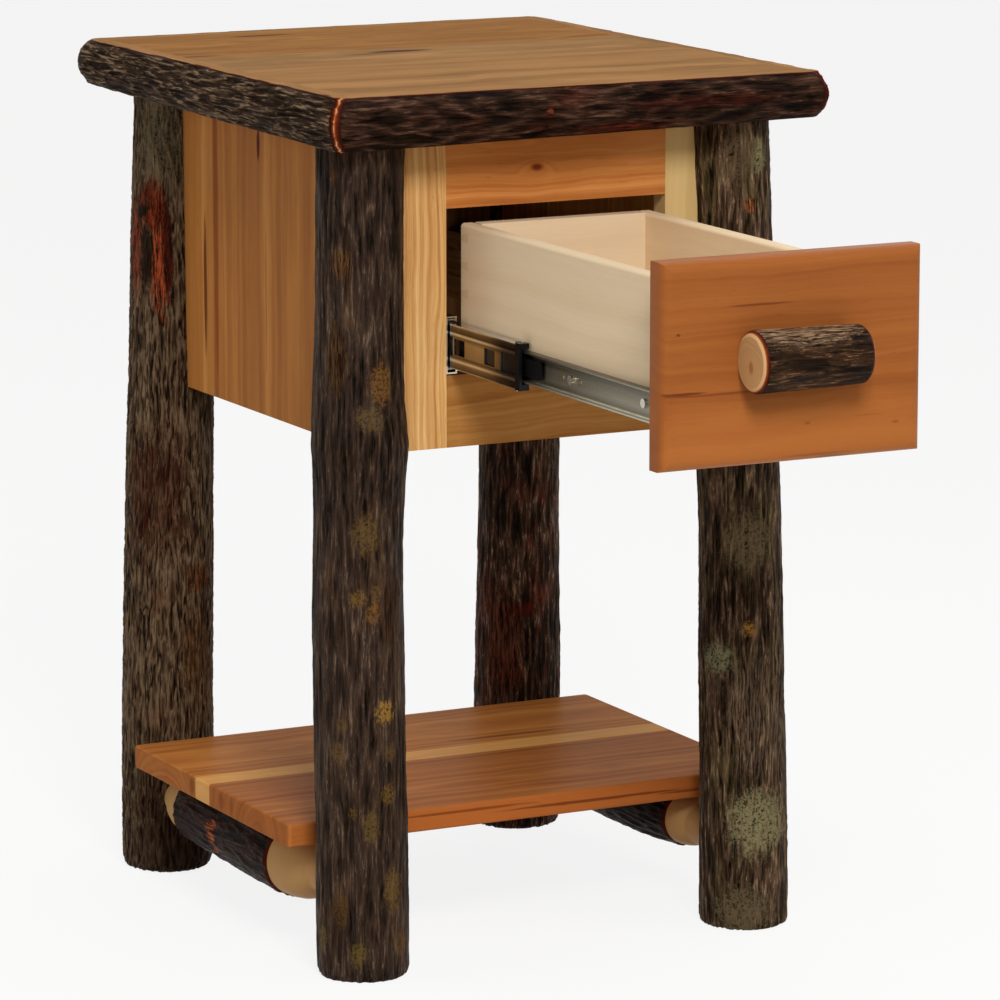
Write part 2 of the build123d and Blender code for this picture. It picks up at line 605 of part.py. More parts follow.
def drawer_bottom():
    """Plywood bottom, let into grooves all round."""
    reach = BOX_INNER_X + PLY_GROOVE
    return block((-reach, reach), (BOX_INSIDE_FRONT_Y - PLY_GROOVE, BOX_INSIDE_BACK_Y + PLY_GROOVE),
                 (PLY_BOTTOM, PLY_BOTTOM + PLY_THICK))


def drawer_side():
    """Left side of the box: rounded top edge, dovetailed ends, groove for the bottom."""
    board = block((-BOX_HALF_WIDTH, -BOX_INNER_X), (DRAWER_REAR_Y, BOX_BACK_Y), (BOX_BOTTOM, BOX_TOP))
    crest = board.faces().sort_by(Axis.Z)[-1].edges().filter_by(Axis.Y)
    board = fillet(crest, BOX_EDGE_ROUND)
    sockets = pins(BOX_INSIDE_FRONT_Y, DRAWER_REAR_Y) + pins(BOX_INSIDE_BACK_Y, BOX_BACK_Y)
    return drilled(board, sockets + drawer_slide_screws(SCREW_FIT) + [drawer_bottom()])


def drawer_end(inner_y, outer_y):
    """Front or back board of the box, with pins that fill the sides' sockets."""
    board = block((-BOX_INNER_X, BOX_INNER_X), (inner_y, outer_y), (BOX_BOTTOM, BOX_TOP))
    for pin in both_sides(pins(inner_y, outer_y)):
        board += pin
    return drilled(board, front_screws(SCREW_FIT) + handle_screws(SCREW_FIT) + [drawer_bottom()])


def drawer_front():
    """Show board of the drawer, rounded over at the face."""
    board = block((-DRAWER_FRONT_X, DRAWER_FRONT_X), (DRAWER_FACE_Y, DRAWER_REAR_Y),
                  (DRAWER_FRONT_BOTTOM, DRAWER_FRONT_TOP))
    board = fillet(board.faces().sort_by(Axis.Y)[0].edges(), DRAWER_FRONT_ROUND)
    return drilled(board, front_screws(SCREW_FIT) + handle_screws(SCREW_FIT))


def drawer_handle():
    """Short log across the drawer front, its back planed flat to sit on the face."""
    end = Plane((-HANDLE_LENGTH / 2, DRAWER_FACE_Y - HANDLE_AXIS_OUT, HANDLE_Z), z_dir=(1, 0, 0))
    log = Solid.make_cone(HANDLE_LEFT_R, HANDLE_RIGHT_R, HANDLE_LENGTH, end)
    log = chamfer(log.edges().filter_by(GeomType.CIRCLE), HANDLE_CHAMFER)
    log -= block((-HANDLE_LENGTH, HANDLE_LENGTH), (DRAWER_FACE_Y, DRAWER_REAR_Y),
                 (DRAWER_FRONT_BOTTOM, DRAWER_FRONT_TOP))
    return drilled(log, handle_screws(SCREW_FIT))


# --- slides, drawn for the left side ---------------------------------------------------------
def deep(first, second):
    """X limits of two depths from the cabinet's mounting face towards the drawer."""
    return (-OPENING_HALF_WIDTH + first, -OPENING_HALF_WIDTH + second)


def long(front_y, length):
    """Y limits of a piece that starts at front_y."""
    return (front_y, front_y + length)


def around(low, high):
    """Z limits below and above the slide's centre line, between two heights."""
    return ((SLIDE_Z - high, SLIDE_Z - low), (SLIDE_Z + low, SLIDE_Z + high))


def channel(face, edge, half_height, lip, y):
    """The flanges of a member and the lips rolled in from their free edge."""
    walls = []
    for z in around(half_height - STEEL, half_height):
        walls.append(block(deep(face, edge), y, z))
    for z in around(half_height - STEEL - lip, half_height):
        walls.append(block(deep(edge - STEEL, edge), y, z))
    return walls


def slide_outer():
    """Cabinet member: C section screwed to its block."""
    y = long(OUTER_FRONT_Y, SLIDE_LENGTH)
    member = block(deep(0, STEEL), y, (SLIDE_Z - OUTER_HALF, SLIDE_Z + OUTER_HALF))
    for wall in channel(0, OUTER_DEPTH, OUTER_HALF, OUTER_LIP, y):
        member += wall
    return drilled(member, cabinet_slide_screws(SCREW_FIT))


def slide_middle():
    """Middle member: its web is sunk between two bands, with windows, a notch and stop lips."""
    y = long(MIDDLE_FRONT_Y, MIDDLE_LENGTH)
    sunk = deep(RECESS_FACE, RECESS_BACK)
    member = block(sunk, y, (SLIDE_Z - BAND_EDGE, SLIDE_Z + BAND_EDGE))
    walls = [block(deep(MIDDLE_FACE, RECESS_FACE), y, z) for z in around(BAND_EDGE - STEEL, MIDDLE_HALF)]
    walls += channel(MIDDLE_FACE, MIDDLE_DEPTH, MIDDLE_HALF, MIDDLE_LIP, y)
    for z in around(MIDDLE_HALF, MIDDLE_HALF + STOP_RISE):
        walls.append(block(deep(RECESS_FACE, RECESS_FACE + STOP_DEPTH), long(MIDDLE_FRONT_Y, STOP_LENGTH), z))
    for wall in walls:
        member += wall
    window = (SLIDE_Z - WINDOW_HEIGHT / 2, SLIDE_Z + WINDOW_HEIGHT / 2)
    for number in range(WINDOW_COUNT):
        start = MIDDLE_FRONT_Y + WINDOW_FIRST - WINDOW_LENGTH / 2 + number * WINDOW_PITCH
        member -= block(sunk, long(start, WINDOW_LENGTH), window)
    notch = (SLIDE_Z - NOTCH_HEIGHT / 2, SLIDE_Z + NOTCH_HEIGHT / 2)
    return member - block(sunk, long(MIDDLE_FRONT_Y, NOTCH_LENGTH), notch)


def slide_bumper():
    """Plastic bumper on the middle member's front end, open for the drawer member."""
    y = long(MIDDLE_FRONT_Y - BUMPER_LENGTH, BUMPER_LENGTH)
    height = MIDDLE_HALF + BUMPER_RISE
    body = block(deep(MIDDLE_FACE, MIDDLE_DEPTH), y, (SLIDE_Z - height, SLIDE_Z + height))
    opening = INNER_HALF + BUMPER_CLEAR
    return body - block(deep(RECESS_BACK, SLIDE_THICK), y, (SLIDE_Z - opening, SLIDE_Z + opening))


def slide_inner():
    """Drawer member: C section screwed to the drawer side, with the release lever's pin."""
    y = long(INNER_FRONT_Y, SLIDE_LENGTH)
    web = deep(SLIDE_THICK - STEEL, SLIDE_THICK)
    member = block(web, y, (SLIDE_Z - INNER_HALF, SLIDE_Z + INNER_HALF))
    for z in around(INNER_HALF - STEEL, INNER_HALF):
        member += block(deep(INNER_EDGE, SLIDE_THICK), y, z)
    holes = drawer_slide_screws(SCREW_FIT)
    for offset in (-SLIDE_HOLE_SPACING, SLIDE_HOLE_SPACING):
        hole_y = INNER_FRONT_Y + SLIDE_SCREW_MID + offset
        holes.append(rod((web[0], hole_y, SLIDE_Z), (web[1], hole_y, SLIDE_Z), SCREW_R))
    pin = deep(LEVER_FACE - PIVOT_STICK_OUT, SLIDE_THICK - STEEL / 2)
    member = drilled(member, holes)
    return member + rod((pin[0], LEVER_PIVOT_Y, SLIDE_Z), (pin[1], LEVER_PIVOT_Y, SLIDE_Z), PIVOT_R)


def release_lever():
    """Lever on the drawer member that unlatches the drawer, with a thumb tab in front."""
    x = deep(LEVER_FACE, LEVER_FACE + LEVER_THICK)
    front = LEVER_PIVOT_Y - LEVER_REACH
    arm = block(x, (front, LEVER_PIVOT_Y), (SLIDE_Z - LEVER_HEIGHT / 2, SLIDE_Z + LEVER_HEIGHT / 2))
    tab = block(x, long(front, LEVER_TAB_LENGTH),
                (SLIDE_Z - LEVER_TAB_HEIGHT / 2, SLIDE_Z + LEVER_TAB_HEIGHT / 2))
    ends = ((x[0], LEVER_PIVOT_Y, SLIDE_Z), (x[1], LEVER_PIVOT_Y, SLIDE_Z))
    return arm + tab + rod(*ends, LEVER_HEIGHT / 2) - rod(*ends, PIVOT_R + PIVOT_CLEAR)


def ball_places(front_y, member_half, near, far):
    """Centres of one cage's balls: two rows outside that member, midway between two depths."""
    x = sum(deep(near, far)) / 2
    rise = member_half + BALL_CLEAR + BALL_DIA / 2
    places = []
    for number in range(BALLS_IN_ROW):
        y = front_y + CAGE_END + number * BALL_PITCH
        places += [(x, y, SLIDE_Z - rise), (x, y, SLIDE_Z + rise)]
    return places


def outer_ball_places():
    """Balls between the cabinet member and the middle member."""
    return ball_places(OUTER_CAGE_FRONT_Y, MIDDLE_HALF, STEEL, OUTER_DEPTH - STEEL)


def inner_ball_places():
    """Balls between the middle member and the drawer member."""
    return ball_places(MIDDLE_FRONT_Y, INNER_HALF, INNER_CAGE_FACE + CAGE_PLATE, MIDDLE_DEPTH - STEEL)


def balls(places):
    """Steel balls at their places."""
    return [Pos(*place) * Sphere(BALL_DIA / 2) for place in places]


def cage(places, front_y, face, edge):
    """Ball cage: a thin plate and two drilled strips that keep the balls apart."""
    rise = places[1][2] - SLIDE_Z
    y = long(front_y, CAGE_LENGTH)
    body = block(deep(face, face + CAGE_PLATE), y, (SLIDE_Z - rise, SLIDE_Z + rise))
    for z in around(rise - CAGE_STRIP / 2, rise + CAGE_STRIP / 2):
        body += block(deep(face, edge - CAGE_CLEAR), y, z)
    pockets = [rod((x, ball_y, z - CAGE_STRIP), (x, ball_y, z + CAGE_STRIP), BALL_DIA / 2 + SCREW_FIT)
               for x, ball_y, z in places]
    return drilled(body, pockets)


def outer_cage():
    """Cage between the cabinet member and the middle member."""
    return cage(outer_ball_places(), OUTER_CAGE_FRONT_Y, OUTER_CAGE_FACE, OUTER_DEPTH - STEEL)


def inner_cage():
    """Cage between the middle member and the drawer member."""
    return cage(inner_ball_places(), MIDDLE_FRONT_Y, INNER_CAGE_FACE, MIDDLE_DEPTH - STEEL)


# --- write the nodes --------------------------------------------------------------------------
for corner, trunk in legs().items():
    save("leg_" + corner, trunk)
save("leg_screws", leg_screws())

for side_name, strip in zip(("front", "right", "back", "left"), edging()):
    save("trim_" + side_name, strip)
save("top_board_front", top_board(-BOARDS_Y, TOP_SEAM_FRONT))
save("top_board_middle", top_board(TOP_SEAM_FRONT, TOP_SEAM_BACK))
save("top_board_back", top_board(TOP_SEAM_BACK, BOARDS_Y))
save("top_cleat_front", top_cleat((-FACE_BACK_Y, CLEAT_THICK - FACE_BACK_Y)))
save("top_cleat_back", top_cleat((BACK_PANEL_Y - CLEAT_THICK, BACK_PANEL_Y)))
save("top_screws", top_screws())

save("back_panel", back_panel())
save("rail_top", rail_top())
save("rail_bottom", rail_bottom())
save("block_screws", block_screws())

save("shelf_board_front", shelf_board(-SHELF_Y, SHELF_STRIP_FRONT))
save("shelf_strip", shelf_board(SHELF_STRIP_FRONT, SHELF_STRIP_BACK))
save("shelf_board_back", shelf_board(SHELF_STRIP_BACK, SHELF_Y))
save("stretcher_left", stretcher(-1, PEELED_LEFT_FRONT, SHOULDER_LEFT_FRONT))
save("stretcher_right", stretcher(1, PEELED_RIGHT_FRONT, SHOULDER_RIGHT_FRONT))
save("shelf_screws", shelf_screws())

save("drawer_front", drawer_front())
save("drawer_handle", drawer_handle())
save("drawer_box_front", drawer_end(BOX_INSIDE_FRONT_Y, DRAWER_REAR_Y))
save("drawer_box_back", drawer_end(BOX_INSIDE_BACK_Y, BOX_BACK_Y))
save("drawer_bottom", drawer_bottom())
save("front_screws", front_screws())
save("handle_screws", handle_screws())

left_pieces = {
    "side_panel": side_panel(),
    "stile": stile(),
    "slide_block": slide_block(),
    "drawer_side": drawer_side(),
    "slide_outer": slide_outer(),
    "slide_middle": slide_middle(),
    "slide_bumper": slide_bumper(),
    "slide_inner": slide_inner(),
    "outer_cage": outer_cage(),
    "inner_cage": inner_cage(),
    "release_lever": release_lever(),
}
for piece_name, piece in left_pieces.items():
    save(piece_name + "_left", piece)
    save(piece_name + "_right", flipped(piece))
for row_name, places in (("outer_balls", outer_ball_places()), ("inner_balls", inner_ball_places())):
    row = balls(places)
    save(row_name + "_left", row)
    save(row_name + "_right", [flipped(ball) for ball in row])
save("slide_cabinet_screws", both_sides(cabinet_slide_screws()))
save("slide_drawer_screws", both_sides(drawer_slide_screws()))
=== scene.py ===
import math

import bpy
import numpy as np
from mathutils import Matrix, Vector


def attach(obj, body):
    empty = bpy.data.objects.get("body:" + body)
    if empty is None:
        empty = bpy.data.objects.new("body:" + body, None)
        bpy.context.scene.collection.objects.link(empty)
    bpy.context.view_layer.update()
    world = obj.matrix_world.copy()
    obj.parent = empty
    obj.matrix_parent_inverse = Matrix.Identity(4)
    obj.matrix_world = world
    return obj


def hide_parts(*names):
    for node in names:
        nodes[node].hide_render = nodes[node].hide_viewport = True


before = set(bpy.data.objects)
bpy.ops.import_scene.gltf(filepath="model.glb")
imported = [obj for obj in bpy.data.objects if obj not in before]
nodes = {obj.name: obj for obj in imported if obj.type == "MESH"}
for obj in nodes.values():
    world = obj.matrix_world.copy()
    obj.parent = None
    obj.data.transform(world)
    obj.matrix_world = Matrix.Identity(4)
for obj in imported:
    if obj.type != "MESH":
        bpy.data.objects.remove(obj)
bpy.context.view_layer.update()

MM = 0.001

# Sizes that the looks share with the solids, in millimetres.
TOP_Z = 707.0
BOARDS_X, BOARDS_Y = 198.0, 234.0
TRIM_FLAT = 14.0
LEG_Y = 194.5
DRAWER_FACE_Y = -576.5
HANDLE_Y, HANDLE_Z = -595.5, 542.0


# --- shader nodes ---------------------------------------------------------------------------
def tint(code):
    """An sRGB hex colour as linear RGBA."""
    channels = [int(code[i:i + 2], 16) / 255 for i in (0, 2, 4)]
    linear = [c / 12.92 if c <= 0.04045 else ((c + 0.055) / 1.055) ** 2.4 for c in channels]
    return (*linear, 1.0)


def result(node):
    """The output that carries what a node works out."""
    return next(socket for socket in node.outputs if socket.enabled)


def feed(tree, node, sockets):
    """Give sockets values, hex colours, outputs or other nodes' results, in the order in which the node
    shows them, or by name."""
    inputs = {socket.identifier: socket for socket in node.inputs}
    if not isinstance(sockets, dict):
        shown = [key for key, socket in inputs.items() if socket.enabled]
        sockets = dict(zip(shown, sockets))
    for key, value in sockets.items():
        if isinstance(value, bpy.types.Node):
            value = result(value)
        if isinstance(value, bpy.types.NodeSocket):
            tree.links.new(value, inputs[key])
        else:
            inputs[key].default_value = tint(value) if isinstance(value, str) else value


def add(tree, kind, sockets=(), stops=(), **settings):
    """Add a shader node: settings are its own values, stops fill its colour ramp, sockets are fed."""
    node = tree.nodes.new("ShaderNode" + kind)
    for key, value in settings.items():
        setattr(node, key, value)
    if stops:
        ramp = node.color_ramp.elements
        while len(ramp) < len(stops):
            ramp.new(1.0)
        for element, (position, colour) in zip(ramp, stops):
            element.position = position
            element.color = tint(colour) if isinstance(colour, str) else (colour, colour, colour, 1.0)
    feed(tree, node, sockets)
    return node


def new_material(name):
    """An empty material with its shader and output, and object coordinates in millimetres."""
    material = bpy.data.materials.new(name)
    material.use_nodes = True
    tree = material.node_tree
    tree.nodes.clear()
    shader = add(tree, "BsdfPrincipled")
    add(tree, "OutputMaterial", [shader])
    place = add(tree, "TexCoord").outputs["Object"]
    return material, tree, shader, add(tree, "VectorMath", (place, 1 / MM), operation="SCALE")


def along_grain(tree, millimetres, grain):
    """Millimetres reordered so that X runs with the grain."""
    split = add(tree, "SeparateXYZ", [millimetres])
    order = {"X": "XYZ", "Y": "YXZ", "Z": "ZXY"}[grain]
    return add(tree, "CombineXYZ", [split.outputs[letter] for letter in order])


def grains(tree, place, size, detail, roughness=0.5, shift=(0, 0, 0)):
    """Noise in grains of a size in millimetres along, across and through the wood."""
    scaled = add(tree, "VectorMath", (place, [1 / side for side in size], shift), operation="MULTIPLY_ADD")
    return add(tree, "TexNoise", (scaled, 1.0, detail, roughness))


def patch(tree, millimetres, place, size, strength, fray, edge):
    """How much a frayed ellipsoid covers: fray is noise that eats into it, and edge is how far."""
    gap = add(tree, "VectorMath", (millimetres, place), operation="SUBTRACT")
    gap = add(tree, "VectorMath", (gap, [1 / side for side in size]), operation="MULTIPLY")
    reach = add(tree, "VectorMath", [gap], operation="LENGTH")
    reach = add(tree, "Math", (fray, edge, reach), operation="MULTIPLY_ADD")
    return add(tree, "MapRange", (reach, 1.25 + edge * 0.5, 0.75 + edge * 0.5, 0.0, strength))


def lacquer(tree, shader, colour, bump, roughness, gloss, warmth):
    """Clear satin lacquer over a colour and its bump. It is kept low in gloss, because a pale room
    seen in it would wash the wood out, and warmth is the tint of what it reflects."""
    feed(tree, shader, {"Base Color": colour, "Normal": bump, "Roughness": roughness, "IOR": 1.5,
                        "Specular IOR Level": gloss, "Specular Tint": warmth})


STREAK = "4A2A16"    # tone of the streaks and flecks in sawn wood


def sawn_wood(name, grain, tones, heart=(0, 0), ring=5.0, streaks=0.0, flecks=0.25, seed=0.0,
              roughness=0.42, gloss=0.14, knot=None, knot_tone="4C2410", staves=(), marks=(),
              end_tone="8A4C22", end_share=0.55, contrast=1.0):
    """Planed wood: growth rings round a heart line, fibres along the grain, dark streaks and flecks,
    a knot that pushes the rings aside, glued staves across the grain, single dark marks, and end grain."""
    material, tree, shader, millimetres = new_material(name)
    grained = along_grain(tree, millimetres, grain)
    if staves:
        # each is its edge in mm across the board and a grey, which shifts its pattern and tone
        across = add(tree, "SeparateXYZ", [grained]).outputs["Z"]
        low, high = staves[0][0] - 100, staves[-1][0] + 100
        position = add(tree, "MapRange", (across, low, high))
        stops = [(0.0, staves[0][1])]
        stops += [((edge - low) / (high - low), grey) for edge, grey in staves[1:]]
        stave = add(tree, "ValToRGB", [position], stops=stops)
        stave.color_ramp.interpolation = "CONSTANT"
        grained = add(tree, "VectorMath", (stave, (900, 0, 330), grained), operation="MULTIPLY_ADD")
    # slow wander of the fibres
    wander = grains(tree, grained, (130, 38, 38), 2.0, shift=(seed, seed * 1.7, seed * 0.6))
    shift = add(tree, "VectorMath", (wander.outputs["Color"], (0, 15, 15), (0, -7.5, -7.5)),
                operation="MULTIPLY_ADD")
    bent = add(tree, "VectorMath", (grained, shift), operation="ADD")
    centred = add(tree, "VectorMath", (bent, (0, *heart)), operation="SUBTRACT")
    radial = add(tree, "VectorMath", (centred, (0, 1, 1)), operation="MULTIPLY")
    radius = add(tree, "VectorMath", [radial], operation="LENGTH")
    if knot:
        (along, *sideways), size = knot
        squeezed = add(tree, "VectorMath", (grained, (0.55, 1, 1)), operation="MULTIPLY")
        reach = add(tree, "VectorMath", (squeezed, (along * 0.55, *sideways)), operation="DISTANCE")
        push = add(tree, "MapRange", (reach, size * 4.0, size * 0.4, 0.0, size * 2.6),
                   interpolation_type="SMOOTHSTEP")
        radius = add(tree, "Math", (radius, push))
        core = add(tree, "MapRange", (reach, size * 1.5, size * 0.35), interpolation_type="SMOOTHSTEP")
    counted = add(tree, "Math", (radius, 1 / ring, seed * 3.1), operation="MULTIPLY_ADD")
    rings = add(tree, "TexNoise", (counted, 1.0, 3.0, 0.62), noise_dimensions="1D")
    fibres = grains(tree, bent, (55, 1.3, 1.3), 3.0, 0.6)
    clouds = grains(tree, bent, (150, 26, 26), 2.0, shift=(seed * 2.3, 4, seed))
    mixed = 0.0
    for pattern, share in ((rings, 0.55), (fibres, 0.2), (clouds, 0.25)):
        mixed = add(tree, "Math", (pattern, share, mixed), operation="MULTIPLY_ADD")
    if staves:
        mixed = add(tree, "Math", (stave, 0.22, mixed), operation="MULTIPLY_ADD")
        mixed = add(tree, "Math", (mixed, 0.11), operation="SUBTRACT")
    tone = add(tree, "MapRange", (mixed, 0.5 - 0.16 / contrast, 0.5 + 0.16 / contrast))
    stops = [(number / (len(tones) - 1), code) for number, code in enumerate(tones)]
    colour = add(tree, "ValToRGB", [tone], stops=stops)
    if streaks:
        spots = grains(tree, bent, (140, 7, 7), 3.0, 0.55, (seed, 9, seed))
        dark = add(tree, "MapRange", (spots, 0.74 - 0.1 * streaks, 0.86 - 0.1 * streaks, 0.0, 0.8),
                   interpolation_type="SMOOTHSTEP")
        colour = add(tree, "Mix", (dark, colour, STREAK), data_type="RGBA")
    if flecks:
        dashes = grains(tree, bent, (14, 1.5, 1.5), 2.0)
        dark = add(tree, "MapRange", (dashes, 0.66, 0.76, 0.0, flecks))
        colour = add(tree, "Mix", (dark, colour, STREAK), data_type="RGBA")
    if knot:
        colour = add(tree, "Mix", (core, colour, knot_tone), data_type="RGBA")
    for place, size, code, strength in marks:
        dark = patch(tree, millimetres, place, size, strength, fibres, 1.1)
        colour = add(tree, "Mix", (dark, colour, code), data_type="RGBA")
    facing = add(tree, "SeparateXYZ", [add(tree, "NewGeometry").outputs["Normal"]]).outputs[grain]
    ends = add(tree, "Math", [facing], operation="ABSOLUTE")
    ends = add(tree, "MapRange", (ends, 0.6, 0.95, 0.0, end_share))
    colour = add(tree, "Mix", (ends, colour, end_tone), data_type="RGBA")
    bump = add(tree, "Bump", {"Strength": 0.25, "Distance": 0.06 * MM, "Height": fibres})
    lacquer(tree, shader, colour, bump, roughness, gloss, "E8CCA0")
    return material


def hickory_bark(name, grain, tones, lichen=(), scars_and_painted_light=(), wood="C9A070", gloss=0.03,
                 net=(6.0, 55.0, -0.3), drawn=1.0):
    """Lacquered bark: near-black fissures between ridges with pale crests, fine threads along the
    log, short pale specks on the raised crests that are painted glints of the lacquer, rusty or olive
    areas, lichen and scraped places, patches of painted highlight and painted shade, and where it is
    cut the red inner bark, then pale wood. The coarse height comes from the mesh's own relief, the
    threads from here. tones are fissure, body, ridge, crest (also the tone of the painted glints) and
    the rust or olive that tinges it. net is a mesh of long lines: mm across, mm along, and how much
    darker or paler they are. drawn lengthens the pattern."""
    material, tree, shader, millimetres = new_material(name)
    grained = along_grain(tree, millimetres, grain)
    bend = grains(tree, grained, (30 * drawn, 10, 10), 2.0)
    bent = add(tree, "VectorMath", (bend.outputs["Color"], (0, 6, 6), grained), operation="MULTIPLY_ADD")
    threads = grains(tree, bent, (24 * drawn, 1.5, 1.5), 5.0, 0.68)
    clouds = grains(tree, grained, (80, 30, 30), 5.0, 0.62)
    ridge = add(tree, "Attribute", attribute_name="ridge").outputs["Fac"]
    height = add(tree, "Math", (ridge, 0.5, -0.4), operation="MULTIPLY_ADD")
    height = add(tree, "Math", (threads, 1.3, height), operation="MULTIPLY_ADD")
    across, along, share = net
    mesh = (1 / along / drawn, 1 / across, 1 / across)
    meshed = add(tree, "VectorMath", (bent, mesh), operation="MULTIPLY")
    lines = add(tree, "TexNoise", {"Vector": meshed, "Scale": 1.0, "Detail": 1.6, "Roughness": 0.6,
                                   "Offset": 1.0, "Gain": 1.6}, noise_type="RIDGED_MULTIFRACTAL")
    height = add(tree, "Math", (add(tree, "MapRange", (lines, 1.05, 1.5, 0.0, share)), height))
    level = add(tree, "Math", (clouds, 0.6, height), operation="MULTIPLY_ADD")
    level = add(tree, "MapRange", (level, 0.3, 1.3))
    colour = add(tree, "ValToRGB", [level], stops=list(zip((0.1, 0.42, 0.68, 1.0), tones)))
    hue = grains(tree, grained, (45, 20, 20), 5.0, 0.65, (7, 3, 5))
    warm = add(tree, "MapRange", (hue, 0.5, 0.7, 0.0, 0.5))
    warm = add(tree, "Math", (warm, level), operation="MULTIPLY")
    colour = add(tree, "Mix", (warm, colour, tones[4]), data_type="RGBA")
    # painted glints: short pale specks on the raised crests, in the crest tone, stand in for the lacquer's
    # glints
    flecks = grains(tree, bent, (7 * drawn, 1.4, 1.4), 2.0, 0.6)
    flecks = add(tree, "MapRange", (flecks, 0.6, 0.72, 0.0, 0.75))
    raised = add(tree, "MapRange", (level, 0.35, 0.7))
    flecks = add(tree, "Math", (flecks, raised), operation="MULTIPLY")
    colour = add(tree, "Mix", (flecks, colour, tones[3]), data_type="RGBA")
    ragged = grains(tree, grained, (8, 4, 4), 7.0, 0.85)
    flaked = add(tree, "MapRange", (threads, 0.42, 0.6))
    # scars, and patches of painted highlight and painted shade
    for place, size, code, strength in scars_and_painted_light:
        scar_and_painted_light_cover = patch(tree, millimetres, place, size, strength, ragged, 3.0)
        bare = add(tree, "Mix", (flaked, "1C0A06", code), data_type="RGBA")
        colour = add(tree, "Mix", (scar_and_painted_light_cover, colour, bare), data_type="RGBA")
    crumbs = add(tree, "TexNoise", (millimetres, 0.4, 6.0, 0.8))
    crumbs = add(tree, "MapRange", (crumbs, 0.45, 0.49))
    for place, size, code, strength in lichen:
        crust = patch(tree, millimetres, place, size, strength, ragged, 3.6)
        crust = add(tree, "Math", (crust, crumbs), operation="MULTIPLY")
        colour = add(tree, "Mix", (crust, colour, code), data_type="RGBA")
    cut = add(tree, "Attribute", attribute_name="cut").outputs["Fac"]
    layers = add(tree, "Math", (ragged, 0.5, cut), operation="MULTIPLY_ADD")
    layers = add(tree, "MapRange", (layers, 0.25, 5.25))
    inner = add(tree, "ValToRGB", [layers], stops=[
        (0.0, "1C0C08"), (0.16, "34120A"), (0.3, "5E200E"), (0.42, "96481E"), (0.48, wood), (1.0, wood)])
    bared = add(tree, "MapRange", (cut, 0.15, 0.5))
    colour = add(tree, "Mix", (bared, colour, inner), data_type="RGBA")
    relief = add(tree, "Mix", (bared, height, 0.5))
    bump = add(tree, "Bump", {"Strength": 0.9, "Distance": 1.3 * MM, "Height": relief})
    lacquer(tree, shader, colour, bump, 0.4, gloss, "E0C8A8")
    return material


# --- modelling ------------------------------------------------------------------------------
def places(piece):
    """The piece's vertices as an array."""
    flat = np.empty(len(piece.data.vertices) * 3)
    piece.data.vertices.foreach_get("co", flat)
    return flat.reshape(-1, 3)


def put(piece, where):
    """Move the piece's vertices."""
    piece.data.vertices.foreach_set("co", where.ravel())
    piece.data.update()


def mark(piece, name, values):
    """Store one number a vertex."""
    layer = piece.data.attributes.get(name) or piece.data.attributes.new(name, "FLOAT", "POINT")
    layer.data.foreach_set("value", np.asarray(values, np.float32))


def edge_ends(piece):
    """Both ends of every edge, in millimetres."""
    bpy.ops.object.mode_set(mode="OBJECT")
    pairs = np.empty(len(piece.data.edges) * 2, int)
    piece.data.edges.foreach_get("vertices", pairs)
    return places(piece)[pairs.reshape(-1, 2)] / MM


def select_edges(piece, chosen):
    """Select these edges and no others, in edit mode."""
    bpy.ops.object.mode_set(mode="EDIT")
    bpy.ops.mesh.select_all(action="DESELECT")
    bpy.ops.object.mode_set(mode="OBJECT")
    piece.data.edges.foreach_set("select", chosen)
    bpy.ops.object.mode_set(mode="EDIT")


SAME_RING = 0.05     # points whose places along a log differ by less than this, in mm, share a ring


def log(name, rings, axis, around, step):
    """A closed log: a disc extruded and resized from one ring of (centre, radius) to the next, then
    sliced across so that its rings lie about a step apart. around is how many points a ring has."""
    turn = {"X": (0, math.pi / 2, 0), "Y": (math.pi / 2, 0, 0), "Z": (0, 0, 0)}[axis]
    bpy.ops.object.select_all(action="DESELECT")
    bpy.ops.mesh.primitive_circle_add(vertices=around, radius=rings[0][1] * MM,
                                      location=Vector(rings[0][0]) * MM, rotation=turn)
    piece = bpy.context.object
    piece.name = name
    bpy.ops.object.transform_apply(location=True, rotation=True, scale=True)
    bpy.ops.object.mode_set(mode="EDIT")
    bpy.ops.mesh.select_mode(type="EDGE")
    bpy.ops.mesh.select_all(action="SELECT")
    for (near, wide), (far, wider) in zip(rings, rings[1:]):
        move = (Vector(far) - Vector(near)) * MM
        bpy.ops.mesh.extrude_region_move(TRANSFORM_OT_translate={"value": move})
        bpy.ops.transform.resize(value=(wider / wide,) * 3)
    number = "XYZ".index(axis)
    stations = np.array([centre[number] for centre, _ in rings], float)
    slices = np.maximum(np.round(np.abs(np.diff(stations)) / step) - 1, 0).astype(int)
    for cuts in sorted(set(slices[slices > 0])):
        ends = edge_ends(piece)[:, :, number]
        middle = np.searchsorted(stations, ends.mean(axis=1)) - 1
        lengthwise = np.abs(ends[:, 0] - ends[:, 1]) > SAME_RING
        select_edges(piece, lengthwise & (slices[np.clip(middle, 0, len(slices) - 1)] == cuts))
        bpy.ops.mesh.subdivide(number_cuts=int(cuts))
    for place in (stations[0], stations[-1]):
        select_edges(piece, (np.abs(edge_ends(piece)[:, :, number] - place) < SAME_RING).all(axis=1))
        bpy.ops.mesh.edge_face_add()
    bpy.ops.mesh.select_all(action="SELECT")
    bpy.ops.mesh.normals_make_consistent(inside=False)
    bpy.ops.object.mode_set(mode="OBJECT")
    bpy.ops.object.shade_smooth()
    return piece


